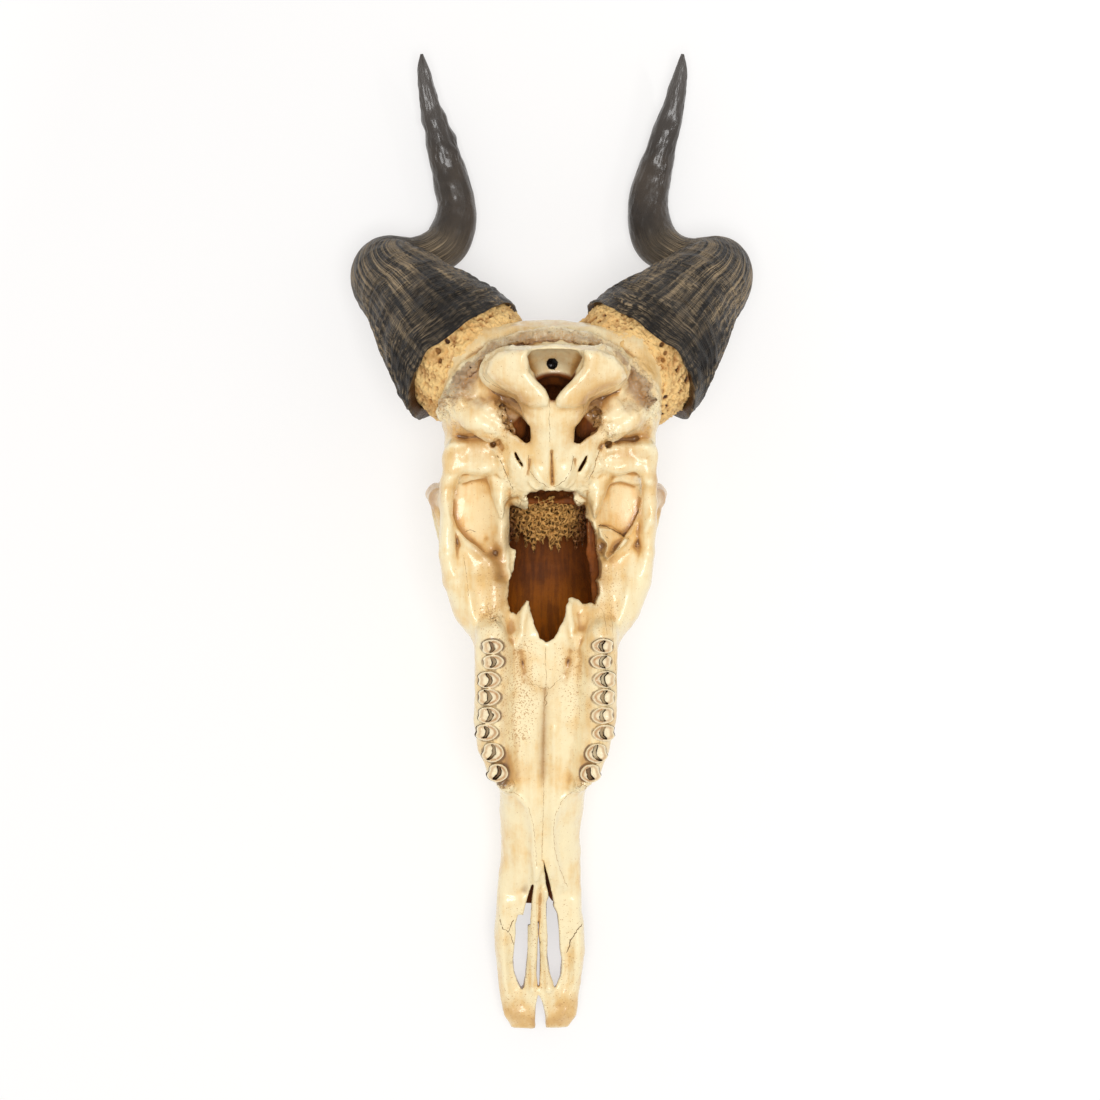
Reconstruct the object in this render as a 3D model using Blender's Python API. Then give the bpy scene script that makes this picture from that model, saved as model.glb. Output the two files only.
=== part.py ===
"""A hartebeest skull without its lower jaw, lying on its forehead with the teeth up.

The cranium is one bone, hollow at the nose and the brain, with two bony horn cores.
A horn sheath is slipped over each core, and five cheek teeth stand in sockets on each side.
X is across the skull, +Y runs from the nose to the horn tips, and +Z is up.
Sizes are in millimetres and become metres where a mesh is made.
"""

import math

import bmesh
import bpy
import numpy as np
from mathutils import Matrix, Vector

MM = 0.001

# How the skull lies
PALATE_TILT = math.radians(25.0)  # the palate rises this much towards the back
NOSE_LEAN = ((-277, -5.2), (-205, -6.0), (-150, -5.2), (-84, -4.0), (28, -3.0), (60, -1.5), (100, 0))
ROLL = 0.03  # the bones are rolled to the right by this much for each unit of height
ROLL_HEIGHT = 90.0
CENTRE_Y = 4.6  # the middle of the skull's length, which becomes the origin
REST_FLAT = 0.6  # depth of the worn flats that the skull rests on
SIDES = (("right", 1), ("left", -1))

# Face: y, dorsal height, ventral height, dorsal half width, ventral half width
FACE = (
    (-281, 13, 21, 12, 17),
    (-272, 11, 26, 17, 21.5),
    (-252, 9, 33, 21, 25.5),
    (-232, 8, 41, 24, 28),
    (-212, 4, 48, 21, 28),
    (-190, -1.2, 57, 16, 27.5),
    (-165, 0, 68, 16, 26.5),
    (-140, 3, 80, 18, 27.5),
    (-125, 5, 87, 20, 32),
    (-100, 8, 99, 23, 40.5),
    (-70, 13, 113, 27, 44.5),
    (-48, 18, 120, 33, 44.5),
    (-25, 23, 112, 42, 38),
    (0, 27, 106, 48, 30),
)
# Forehead over the eyes and round the horn pedicle: y, height, half height, half width
FOREHEAD = (
    (-60, 27, 11, 30),
    (-30, 36, 13, 48),
    (0, 44, 15, 59),
    (28, 50, 18, 65),
    (55, 60, 24, 58),
    (85, 72, 32, 50),
    (108, 82, 36, 45),
    (124, 88, 26, 38),
    (129, 90, 12, 24),
)
BRAINCASE = ((0, 72, 100), (42, 52, 44))
BRAIN_HOLLOW = ((0, 66, 102), (33, 38, 33))

# Front of the palate: the slits on both sides of its two middle bars, and the notch at the tip
INCISOR_SLIT = (
    (12.5, -254.5),
    (14.6, -250),
    (15.6, -232),
    (13.6, -212),
    (9.4, -200),
    (7.2, -203),
    (7.4, -236),
    (8.8, -252),
)
MIDDLE_SLIT = ((0.5, -254), (0.6, -224), (0.2, -219), (-0.2, -219), (-0.6, -224), (-0.5, -254))
FRONT_NOTCH = ((3.6, -285), (1.9, -270), (0.4, -257.5), (-0.4, -257.5), (-1.9, -270), (-3.6, -285))

# Skull base from between the eyes back to the spinal opening, and the plates and bars beside it
SKULL_BASE_PATH = ((0, -10, 100), (0, 30, 112), (0, 58, 137), (0, 84, 158))
SKULL_BASE_SIZE = ((20, 12), (13, 9), (12.5, 9), (14, 11))
JAW_HINGE_PATH = ((22, 50, 114), (40, 52, 118), (55, 52, 118))
JAW_HINGE_SIZE = ((12, 9), (13, 8), (10, 8))
PTERYGOID_PATH = ((26, 30, 108), (24, 5, 104), (25, -20, 104), (27, -46, 112))
PTERYGOID_SIZE = ((5, 14), (3.2, 16), (3.4, 18), (6, 14))
POSTORBITAL_PATH = ((57, 34, 52), (64, 34, 76), (59, 26, 106))
POSTORBITAL_SIZE = ((6, 5), (5, 4.5), (5, 5))

# Cheek arch, from the hinge of the jaw forward to the cheekbone
CHEEK_ARCH_PATH = (
    (53, 56, 121),
    (56.5, 38, 117),
    (57.5, 16, 109),
    (57, -2, 104),
    (53, -18, 101),
    (46, -34, 102),
)
CHEEK_ARCH_SIZE = ((7, 8), (5, 7), (4.5, 8), (5, 9), (6, 10), (6, 9))

# Eye socket: its middle, its hollow and the rim round it
ORBIT_CENTRE = (59, 9, 72)
ORBIT_HOLLOW = ((57, 9, 73), (28, 23, 25))
ORBIT_RIM_RADIUS = (25, 27)
ORBIT_RIM_THICK = 5.0

# Horn: x, y, z of the middle line, half width across and half depth; the tip is last
HORN = (
    (47.7, 108.5, 77, 41.7, 42),
    (57, 118, 74, 41, 41),
    (69.8, 131, 66.5, 36.5, 37),
    (82.5, 145.5, 55, 29.8, 31),
    (94.2, 159.2, 41, 23.5, 24.5),
    (94, 167.5, 29.5, 16.5, 18),
    (82.0, 169.5, 22.5, 13.5, 14.5),
    (71.0, 173.2, 18.5, 13, 13.5),
    (61.8, 180, 15, 13.6, 13.6),
    (57.4, 190.5, 13.4, 13.1, 13.1),
    (56.2, 202.6, 12.8, 12, 12),
    (58.2, 214.3, 13.2, 10.9, 10.9),
    (63.3, 231.7, 15, 9.2, 9.2),
    (68.6, 249, 18, 7.2, 7.2),
    (72.6, 266, 21.5, 5.2, 5.2),
    (75.2, 280.2, 25, 3.2, 3.2),
    (76.1, 289.8, 27, 1.2, 1.2),
)
SHEATH_RINGS = 120
SHEATH_SIDES = 32
SHEATH_VOXEL = 1.1
SHEATH_FACES = 1050
RIDGE_COUNT = 9  # growth ridges on the thick lower half
RIDGE_SHARE = 0.34  # share of the horn's length that they cover
RIDGE_HEIGHT = 0.9
SHEATH_WALL = 3.0
CORE_SHARE = 0.37  # the bony core fills this share of the horn's length
CORE_TAPER = 0.5  # how much it narrows at its end
CORE_GAP = 3.0  # dried sheaths stand a little off the bone
SEAT_GAP = 0.6  # between a sheath's rim and the skull
CORE_ROOT = (20, 86, 92, 30, 36)  # where the core grows out of the skull
CORE_SHIFT = 1.2  # it stands nearer the inner side of the sheath
CORE_SIDES = 12

# Teeth: name, x, y, length along the row, width
TEETH = (
    ("molar_3", 30.2, -54.6, 17.8, 11.4),
    ("molar_2", 32.0, -73.6, 19.6, 12.0),
    ("molar_1", 32.2, -94.2, 19.6, 12.0),
    ("premolar_4", 29.0, -110.6, 11.6, 11.4),
    ("premolar_3", 26.0, -122.4, 10.8, 10.4),
)
ROW_TURN = {"molar_3": -4, "molar_2": -1, "molar_1": 5, "premolar_4": 14, "premolar_3": 16}
TOOTH_ABOVE = 8.5  # crown above the palate
TOOTH_BELOW = 9.0  # root in its socket
TOOTH_SIDES = 14
SOCKET_GAP = 0.45

VOXEL = 2.4
CRANIUM_FACES = 4250


def palate_height(y):
    """Height of the palate above the floor at y."""
    return 50.0 + (y + 205.0) * math.tan(PALATE_TILT)


def placed(point, crooked):
    """A point in millimetres, centred and in metres. Bones and teeth are first bent as this skull grew."""
    x, y, z = point
    if crooked:
        stations, shifts = zip(*NOSE_LEAN)
        x += float(np.interp(y, stations, shifts)) + ROLL * (z - ROLL_HEIGHT)
    return Vector((x * MM, (y - CENTRE_Y) * MM, (z - REST_FLAT) * MM))


def smooth_rows(rows, count):
    """Catmull-Rom curve through rows of numbers, read at count even steps of its length in space."""
    rows = np.array(rows, float)
    ends = np.vstack((2 * rows[0] - rows[1], rows, 2 * rows[-1] - rows[-2]))
    fine = []
    for i in range(len(rows) - 1):
        a, b, c, d = ends[i : i + 4]
        for t in np.linspace(0, 1, 24, endpoint=False):
            square = 2 * a - 5 * b + 4 * c - d
            cube = 3 * b - a - 3 * c + d
            fine.append(0.5 * (2 * b + (c - a) * t + square * t**2 + cube * t**3))
    fine.append(rows[-1])
    fine = np.array(fine)
    steps = np.linalg.norm(np.diff(fine[:, :3], axis=0), axis=1)
    reach = np.concatenate(((0,), np.cumsum(steps)))
    wanted = np.linspace(0, reach[-1], count)
    return np.stack([np.interp(wanted, reach, column) for column in fine.T], axis=1)


def bridge(bm, rings):
    """Closed tube through rings of points, each as long as the last, with flat ends."""
    loops = [[bm.verts.new(point) for point in ring] for ring in rings]
    count = len(loops[0])
    for low, high in zip(loops, loops[1:]):
        for i in range(count):
            j = (i + 1) % count
            bm.faces.new((low[i], low[j], high[j], high[i]))
    bm.faces.new(reversed(loops[0]))
    bm.faces.new(loops[-1])


def power_wave(value, exponent):
    """Cosine or sine drawn towards a squarer shape."""
    return math.copysign(abs(value) ** (2.0 / exponent), value)


def section(y, low, high, half_low, half_high, exponent=2.8, count=24):
    """Upright ring at y: a rounded box that tapers from its lower to its upper half width."""
    middle, half = (low + high) / 2, (high - low) / 2
    ring = []
    for i in range(count):
        angle = 2 * math.pi * i / count
        up = power_wave(math.sin(angle), exponent)
        side = power_wave(math.cos(angle), exponent)
        share = (up + 1) / 2
        ring.append((side * (half_low + (half_high - half_low) * share), y, middle + half * up))
    return ring


def sweep_rings(rows, sides, grow=0.0):
    """Oval rings square to a path of rows x, y, z, half width, half depth. The depth stays nearest to Z."""
    rows = np.array(rows, float)
    middle = rows[:, :3]
    along = np.gradient(middle, axis=0)
    along /= np.linalg.norm(along, axis=1)[:, None]
    depth = np.array((0, 0, 1.0)) - along * along[:, 2:3]
    depth /= np.linalg.norm(depth, axis=1)[:, None]
    across = np.cross(along, depth)
    rings = []
    for centre, side, up, half_side, half_up in zip(middle, across, depth, rows[:, 3], rows[:, 4]):
        ring = []
        for i in range(sides):
            angle = -2 * math.pi * i / sides
            ring.append(
                centre + side * math.cos(angle) * (half_side + grow) + up * math.sin(angle) * (half_up + grow)
            )
        rings.append(ring)
    return rings


def ellipsoid(bm, centre, radii, turn=None):
    """Ball stretched to three radii, turned about its middle."""
    ball = bmesh.ops.create_icosphere(bm, subdivisions=3, radius=1.0)
    matrix = Matrix.Translation(centre) @ (turn or Matrix()) @ Matrix.Diagonal((*radii, 1.0))
    bmesh.ops.transform(bm, matrix=matrix, verts=ball["verts"])


def bar(bm, path, sizes, side=1, count=14, sides=12):
    """Bony bar along a path, oval in section, mirrored when side is -1."""
    rows = [(x * side, y, z, across, up) for (x, y, z), (across, up) in zip(path, sizes)]
    rings = sweep_rings(smooth_rows(rows, count), sides)
    bridge(bm, rings)


def mesh_object(name, bm, crooked=True):
    """Object from a bmesh in millimetres. Faces are turned outwards."""
    for vert in bm.verts:
        vert.co = placed(vert.co, crooked)
    bmesh.ops.recalc_face_normals(bm, faces=bm.faces)
    mesh = bpy.data.meshes.new(name)
    bm.to_mesh(mesh)
    bm.free()
    made = bpy.data.objects.new(name, mesh)
    bpy.context.scene.collection.objects.link(made)
    return made


def helper(made):
    """Keeps a cutter or a blank out of the finished skull."""
    made.hide_render = True
    made.display_type = "WIRE"
    return made


def bake(made):
    """Makes what the modifiers show into the object's own mesh."""
    graph = bpy.context.evaluated_depsgraph_get()
    mesh = bpy.data.meshes.new_from_object(made.evaluated_get(graph))
    made.modifiers.clear()
    made.data = mesh
    return made


def fuse(made, voxel):
    """Joins overlapping closed shapes into one skin."""
    remesh = made.modifiers.new("fuse", "REMESH")
    remesh.mode = "VOXEL"
    remesh.voxel_size = voxel * MM
    return bake(made)


def combine(made, other, operation, own_folds=False):
    """Boolean of two closed meshes. With own_folds the solver also clears folds of the mesh itself."""
    cut = made.modifiers.new(operation.lower(), "BOOLEAN")
    cut.operation = operation
    cut.object = other
    cut.solver = "EXACT"
    cut.use_self = own_folds
    return bake(made)


def soften(made, steps, factor=0.5):
    """Rounds the seams where bones meet."""
    smooth = made.modifiers.new("soften", "SMOOTH")
    smooth.iterations = steps
    smooth.factor = factor
    return bake(made)


def largest_body(made):
    """Drops chips that a cut has left loose."""
    bm = bmesh.new()
    bm.from_mesh(made.data)
    groups, seen = [], set()
    for start in bm.verts:
        if start in seen:
            continue
        seen.add(start)
        stack, group = [start], []
        while stack:
            vert = stack.pop()
            group.append(vert)
            for edge in vert.link_edges:
                other = edge.other_vert(vert)
                if other not in seen:
                    seen.add(other)
                    stack.append(other)
        groups.append(group)
    groups.sort(key=len)
    for group in groups[:-1]:
        bmesh.ops.delete(bm, geom=group, context="VERTS")
    bm.to_mesh(made.data)
    bm.free()
    return made


def flatten_rest(made):
    """Cuts the worn flat that meets the floor, at height 0."""
    bm = bmesh.new()
    bm.from_mesh(made.data)
    whole = bm.verts[:] + bm.edges[:] + bm.faces[:]
    cut = bmesh.ops.bisect_plane(bm, geom=whole, plane_co=(0, 0, 0), plane_no=(0, 0, -1), clear_outer=True)
    rim = [item for item in cut["geom_cut"] if isinstance(item, bmesh.types.BMEdge)]
    if rim:
        bmesh.ops.holes_fill(bm, edges=rim)
    bmesh.ops.triangulate(bm, faces=bm.faces[:])
    bmesh.ops.recalc_face_normals(bm, faces=bm.faces)
    bm.to_mesh(made.data)
    bm.free()
    return made


def finish_material(name, colour, roughness):
    """Principled surface with the piece's plain colour."""
    made = bpy.data.materials.new(name)
    made.use_nodes = True
    shader = made.node_tree.nodes["Principled BSDF"]
    shader.inputs["Base Color"].default_value = (*colour, 1.0)
    shader.inputs["Roughness"].default_value = roughness
    shader.inputs["Metallic"].default_value = 0.0
    return made


def shade(made, material, angle=35):
    """Smooth shading apart from real edges."""
    made.data.materials.clear()
    made.data.materials.append(material)
    made.data.shade_smooth()
    made.data.set_sharp_from_angle(angle=math.radians(angle))


# Cranium


def bone_masses():
    """The skull's bones as overlapping closed shapes."""
    bm = bmesh.new()
    bridge(bm, [section(y, low, high, half_low, half_high) for y, low, high, half_low, half_high in FACE])
    bridge(bm, [section(y, z - half, z + half, wide, wide, 2.4) for y, z, half, wide in FOREHEAD])
    ellipsoid(bm, *BRAINCASE)
    bar(bm, SKULL_BASE_PATH, SKULL_BASE_SIZE)
    # Occipital bone round the spinal opening
    ellipsoid(bm, (0, 94, 128), (46, 26, 30))
    for _, side in SIDES:
        ellipsoid(bm, (side * 21.5, 96, 157), (16, 13.5, 15))
        ellipsoid(bm, (side * 9.5, 45, 126), (7.5, 12, 8))
        # Mastoid shoulder and nuchal wing
        ellipsoid(bm, (side * 43, 84, 118), (17, 24, 24))
        # Stump of the jugular process
        bar(bm, ((46, 82, 126), (38, 66, 140)), ((11, 7), (9, 5)), side, count=5)
        # Hinge of the jaw
        bar(bm, JAW_HINGE_PATH, JAW_HINGE_SIZE, side)
        ellipsoid(bm, (side * 27, 62, 125), (11, 13, 12))
        # Pterygoid wing beside the throat opening
        bar(bm, PTERYGOID_PATH, PTERYGOID_SIZE, side)
        bar(bm, CHEEK_ARCH_PATH, CHEEK_ARCH_SIZE, side)
        # Cheekbone in front of the eye
        ellipsoid(bm, (side * 42, -14, 84), (15, 27, 26))
        orbit_rim(bm, side)
        # Bar behind the eye
        bar(bm, POSTORBITAL_PATH, POSTORBITAL_SIZE, side)
        # Foot of the horn on the skull
        ellipsoid(bm, (side * 36, 98, 88), (32, 30, 36))
    return mesh_object("bone_masses", bm)


def orbit_rim(bm, side):
    """Ring of bone round the eye, facing out and a little forward."""
    x, y, z = ORBIT_CENTRE
    along_y, along_z = ORBIT_RIM_RADIUS
    rows = []
    for i in range(25):
        angle = 2 * math.pi * i / 24
        out = 5.0 * math.sin(angle - 0.5)
        rows.append((side * (x + out), y + along_y * math.sin(angle), z + along_z * math.cos(angle)))
    for start, end in zip(rows, rows[1:]):
        capsule(bm, start, end, ORBIT_RIM_THICK)


def capsule(bm, start, end, radius):
    """Short round rod with a ball at its start."""
    ellipsoid(bm, start, (radius, radius, radius))
    axis = Vector(end) - Vector(start)
    turn = axis.to_track_quat("Z", "Y").to_matrix().to_4x4()
    rod = bmesh.ops.create_cone(
        bm, cap_ends=True, segments=12, radius1=radius, radius2=radius, depth=axis.length
    )
    matrix = Matrix.Translation((Vector(start) + Vector(end)) / 2) @ turn
    bmesh.ops.transform(bm, matrix=matrix, verts=rod["verts"])


def hollows():
    """What is open in the skull, as overlapping closed shapes."""
    bm = bmesh.new()
    nose = [section(-292, -30, 8, 10, 10), section(-262, -30, 13, 16, 16), section(-235, -30, 31, 19, 20)]
    nose.append(section(-214, -6, 41, 18, 21))
    for y, low, high, half_low, half_high in FACE:
        if -200 < y < -40:
            nose.append(section(y, low + 5, high - 6, half_low - 5, min(half_high - 6, 28)))
    nose.append(section(-5, 36, 96, 17, 17))
    nose.append(section(22, 52, 92, 13, 15))
    bridge(bm, nose)
    ellipsoid(bm, *BRAIN_HOLLOW)
    # Spinal opening, leading down into the braincase
    bar(bm, ((0, 70, 112), (0, 88, 138), (0, 104, 168)), ((12, 13), (12, 12), (14, 13)))
    # Throat opening behind the palate
    outline = throat_outline()
    bridge(bm, [[(x, y, 84) for x, y in outline], [(x, y, 150) for x, y in outline]])
    for _, side in SIDES:
        ellipsoid(bm, (side * ORBIT_HOLLOW[0][0], *ORBIT_HOLLOW[0][1:]), ORBIT_HOLLOW[1])
        # Temporal window between the jaw hinge, the cheek arch and the throat
        ellipsoid(bm, (side * 40, 21, 92), (13, 21, 38))
        # Pit beside the skull base
        ellipsoid(bm, (side * 20, 72, 146), (7, 9, 16))
    return mesh_object("hollows", bm)


def throat_outline():
    """Broken edge of the throat opening, seen from above, with the notch of the palate in front."""
    return (
        (0, -51),
        (8, -44),
        (11, -28),
        (16, -35),
        (23, -27),
        (23, -2),
        (19, 13),
        (9, 29),
        (-9, 29),
        (-19, 13),
        (-23, -2),
        (-23, -27),
        (-16, -35),
        (-11, -28),
        (-8, -44),
    )


def core_rows(count):
    """Horn's middle line as far as the bony core reaches, narrowing to the core's end."""
    rows = smooth_rows(HORN, 200)[: int(200 * CORE_SHARE)]
    share = np.linspace(0, 1, len(rows))
    rows[:, 3:] *= (1.0 - CORE_TAPER * share**3)[:, None]
    picked = np.linspace(0, len(rows) - 1, count).astype(int)
    return rows[picked]


def horn_core(side):
    """Bony core that carries a horn sheath."""
    shrink = SHEATH_WALL + CORE_GAP
    core = [(side * CORE_ROOT[0], *CORE_ROOT[1:])]
    for row in core_rows(14)[1:-1]:
        x, y = row[0] - CORE_SHIFT, row[1] + CORE_SHIFT
        core.append((side * x, y, row[2], row[3] - shrink, row[4] - shrink))
    bm = bmesh.new()
    bridge(bm, sweep_rings(core, CORE_SIDES))
    return mesh_object("horn_core_blank", bm, crooked=False)


def sheath_seat(side):
    """Room for the rim of a horn sheath, cut before the core is added."""
    rows = smooth_rows(HORN, 60)[:24:3]
    start = rows[0] - (rows[1] - rows[0]) * SEAT_GAP / np.linalg.norm((rows[1] - rows[0])[:3])
    start[3:] = rows[0][3:]
    seat = [(side * row[0], row[1], row[2], row[3] + 1.2, row[4] + 1.2) for row in [start, *rows[1:]]]
    bm = bmesh.new()
    bridge(bm, sweep_rings(seat, 28))
    return mesh_object("sheath_seat", bm, crooked=False)


def thinned(made, triangles):
    """Collapses edges until about this many triangles are left."""
    thin = made.modifiers.new("thin", "DECIMATE")
    thin.ratio = triangles / max(1, sum(len(face.vertices) - 2 for face in made.data.polygons))
    return bake(made)


def cranium():
    """Fused bones less their hollows, thinned to few faces, with exact cores, bars and sockets."""
    bones = fuse(bone_masses(), VOXEL)
    soften(bones, 6)
    open_parts = fuse(hollows(), VOXEL)
    soften(open_parts, 2)
    helper(open_parts)
    combine(bones, open_parts, "DIFFERENCE")
    largest_body(bones)
    fuse(bones, VOXEL * 0.8)
    soften(bones, 3)
    thinned(bones, CRANIUM_FACES)
    for _, side in SIDES:
        combine(bones, helper(sheath_seat(side)), "DIFFERENCE", own_folds=True)
        combine(bones, helper(horn_core(side)), "UNION")
    combine(bones, helper(palate_slits()), "DIFFERENCE")
    for _, side in SIDES:
        for tooth in TEETH:
            combine(bones, helper(tooth_solid("socket", tooth, side, SOCKET_GAP)), "DIFFERENCE")
    largest_body(bones)
    flatten_rest(bones)
    bones.name = "cranium"
    return bones


def palate_slits():
    """Upright cutters for the slits and the notch in the front of the palate."""
    mirrored = [(-x, y) for x, y in INCISOR_SLIT]
    bm = bmesh.new()
    for outline in (INCISOR_SLIT, mirrored, MIDDLE_SLIT, FRONT_NOTCH):
        bridge(bm, [[(x, y, height) for x, y in outline] for height in (-20, 90)])
    return mesh_object("palate_slits", bm)


# Horn sheaths


def sheath(name, side):
    """Hollow horn: a ridged oval tube that turns out, in and back, with a socket for the bony core."""
    rows = smooth_rows(HORN, SHEATH_RINGS)
    outside = []
    for i, row in enumerate(rows):
        share = i / (SHEATH_RINGS - 1)
        wave = 0.5 - 0.5 * math.cos(2 * math.pi * RIDGE_COUNT * share / RIDGE_SHARE)
        fade = max(0.0, 1.0 - share / RIDGE_SHARE)
        ridge = RIDGE_HEIGHT * wave * min(1.0, 2 * fade)
        outside.append((side * row[0], row[1], row[2], row[3] + ridge, row[4] + ridge))
    bm = bmesh.new()
    bridge(bm, sweep_rings(outside, SHEATH_SIDES))
    made = fuse(mesh_object(name, bm, crooked=False), SHEATH_VOXEL)
    thinned(made, SHEATH_FACES)
    socket_rows = core_rows(40)[:-1]
    first = socket_rows[0] - (socket_rows[1] - socket_rows[0]) * 2
    first[3:] = socket_rows[0][3:]
    inside = []
    for row in [first, *socket_rows[::4], socket_rows[-1]]:
        inside.append((side * row[0], row[1], row[2], row[3] - SHEATH_WALL, row[4] - SHEATH_WALL))
    bm = bmesh.new()
    bridge(bm, sweep_rings(inside, CORE_SIDES))
    combine(made, helper(mesh_object(name + "_socket", bm, crooked=False)), "DIFFERENCE")
    flatten_rest(made)
    return made


# Teeth


def tooth_outline(length, width, grow):
    """Outline of a crown: two lobes on a molar, one on a premolar, pinched between the lobes."""
    lobes = 2 if length > 15 else 1
    points = []
    for i in range(TOOTH_SIDES):
        angle = 2 * math.pi * i / TOOTH_SIDES
        along = power_wave(math.cos(angle), 3.2)
        across = power_wave(math.sin(angle), 3.2)
        pinch = 1.0 - 0.2 * math.exp(-((along / 0.22) ** 2)) if lobes == 2 else 1.0
        points.append((across * (width / 2 + grow) * pinch, along * (length / 2 + grow)))
    return points


def tooth_solid(name, tooth, side, grow=0.0):
    """Tooth, or with grow its socket: a crown that stands square to the palate, tapering into a root."""
    kind, x, y, length, width = tooth
    outline = tooth_outline(length, width, grow)
    turn = Matrix.Rotation(math.radians(ROW_TURN[kind]) * side, 4, "Z")
    tilt = Matrix.Rotation(PALATE_TILT, 4, "X")
    stand = Matrix.Translation((side * x, y, palate_height(y))) @ tilt @ turn
    levels = ((-TOOTH_BELOW - grow, 0.78), (0.0, 0.96), (TOOTH_ABOVE - 1.5, 1.0), (TOOTH_ABOVE, 0.86))
    bm = bmesh.new()
    rings = [[stand @ Vector((px * s, py * s, z)) for px, py in outline] for z, s in levels]
    if grow:
        rings[-1] = [point + Vector((0, 0, 6)) for point in rings[-1]]
    bridge(bm, rings)
    if not grow:
        grinding_face(bm)
    return mesh_object(name, bm)


def grinding_face(bm):
    """Worn hollow in the top of the crown."""
    top = max(bm.faces, key=lambda face: face.calc_center_median().z if len(face.verts) > 4 else -1e9)
    bmesh.ops.inset_individual(bm, faces=[top], thickness=1.6, depth=0.0)
    bmesh.ops.inset_individual(bm, faces=[top], thickness=0.8, depth=-1.3)


def main():
    for old in list(bpy.data.objects):
        bpy.data.objects.remove(old)
    bone = finish_material("bone", (0.83, 0.70, 0.50), 0.42)
    horn = finish_material("horn", (0.045, 0.040, 0.034), 0.38)
    enamel = finish_material("tooth", (0.80, 0.64, 0.42), 0.35)
    shade(cranium(), bone)
    for word, side in SIDES:
        shade(sheath(f"horn_sheath_{word}", side), horn)
        for tooth in TEETH:
            shade(tooth_solid(f"upper_{tooth[0]}_{word}", tooth, side), enamel)


main()
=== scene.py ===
import math

import bpy
import numpy as np
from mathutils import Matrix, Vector
from mathutils.bvhtree import BVHTree


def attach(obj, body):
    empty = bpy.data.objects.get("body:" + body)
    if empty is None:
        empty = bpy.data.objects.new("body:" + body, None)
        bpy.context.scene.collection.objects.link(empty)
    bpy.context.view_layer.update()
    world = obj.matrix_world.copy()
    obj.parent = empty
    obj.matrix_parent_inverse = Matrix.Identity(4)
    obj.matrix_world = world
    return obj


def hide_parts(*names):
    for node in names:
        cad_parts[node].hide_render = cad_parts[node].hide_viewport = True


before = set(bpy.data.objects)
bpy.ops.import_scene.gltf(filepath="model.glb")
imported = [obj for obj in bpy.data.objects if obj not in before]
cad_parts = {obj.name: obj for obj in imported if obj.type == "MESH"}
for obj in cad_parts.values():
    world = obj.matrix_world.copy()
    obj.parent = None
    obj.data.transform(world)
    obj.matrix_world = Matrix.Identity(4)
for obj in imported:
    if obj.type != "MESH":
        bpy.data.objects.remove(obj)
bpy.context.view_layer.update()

# The skull lies on its forehead on a white table and is seen from straight above, teeth up.
# Lengths are millimetres on the skull's own axes: x across, y from nose to horn tips, z up.
# They become metres where a mesh is made.
MM = 0.001
CENTRE_X = 1.2
CENTRE_Y = 4.6
REST_FLAT = 0.6
VIEW_HEIGHT = 2110.0
VIEW_WIDTH = 616.0
VIEW_DISTANCE = 2000.0
SENSOR = 36.0



def linked(name, data):
    """New object in the scene that shows this mesh, light or camera."""
    made = bpy.data.objects.new(name, data)
    bpy.context.scene.collection.objects.link(made)
    return made


lens = bpy.data.cameras.new("lens")
lens.sensor_width = SENSOR
lens.lens = SENSOR * VIEW_DISTANCE / VIEW_WIDTH
lens.clip_end = 20.0
camera = linked("camera", lens)
camera.location = (-CENTRE_X * MM, -CENTRE_Y * MM, (VIEW_HEIGHT - REST_FLAT) * MM)
bpy.context.scene.camera = camera
bpy.context.scene.view_settings.view_transform = "Standard"


class Wire:
    """One shader socket. Python sums on it add Math nodes to its tree."""

    def __init__(self, tree, socket):
        self.tree = tree
        self.socket = socket

    def math(self, operation, *others):
        node = self.tree.nodes.new("ShaderNodeMath")
        node.operation = operation
        for slot, value in zip(node.inputs, (self, *others)):
            join(self.tree, value, slot)
        return Wire(self.tree, node.outputs[0])

    def __add__(self, other):
        return self.math("ADD", other)

    def __sub__(self, other):
        return self.math("SUBTRACT", other)

    def __mul__(self, other):
        return self.math("MULTIPLY", other)

    def __rsub__(self, other):
        return (self * -1.0) + other

    __radd__ = __add__
    __rmul__ = __mul__

    def least(self, other):
        return self.math("MINIMUM", other)

    def most(self, other):
        return self.math("MAXIMUM", other)

    def step(self, low, high):
        """0 below low and 1 above high, with an even, clamped rise between; low may be the greater."""
        node = self.tree.nodes.new("ShaderNodeMapRange")
        node.interpolation_type = "SMOOTHSTEP"
        for name, value in (("Value", self), ("From Min", low), ("From Max", high)):
            join(self.tree, value, node.inputs[name])
        return Wire(self.tree, node.outputs["Result"])


def join(tree, value, slot):
    """Links a wire to a node's input, or sets the input to a plain value."""
    if isinstance(value, Wire):
        tree.links.new(value.socket, slot)
    else:
        slot.default_value = value


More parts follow.
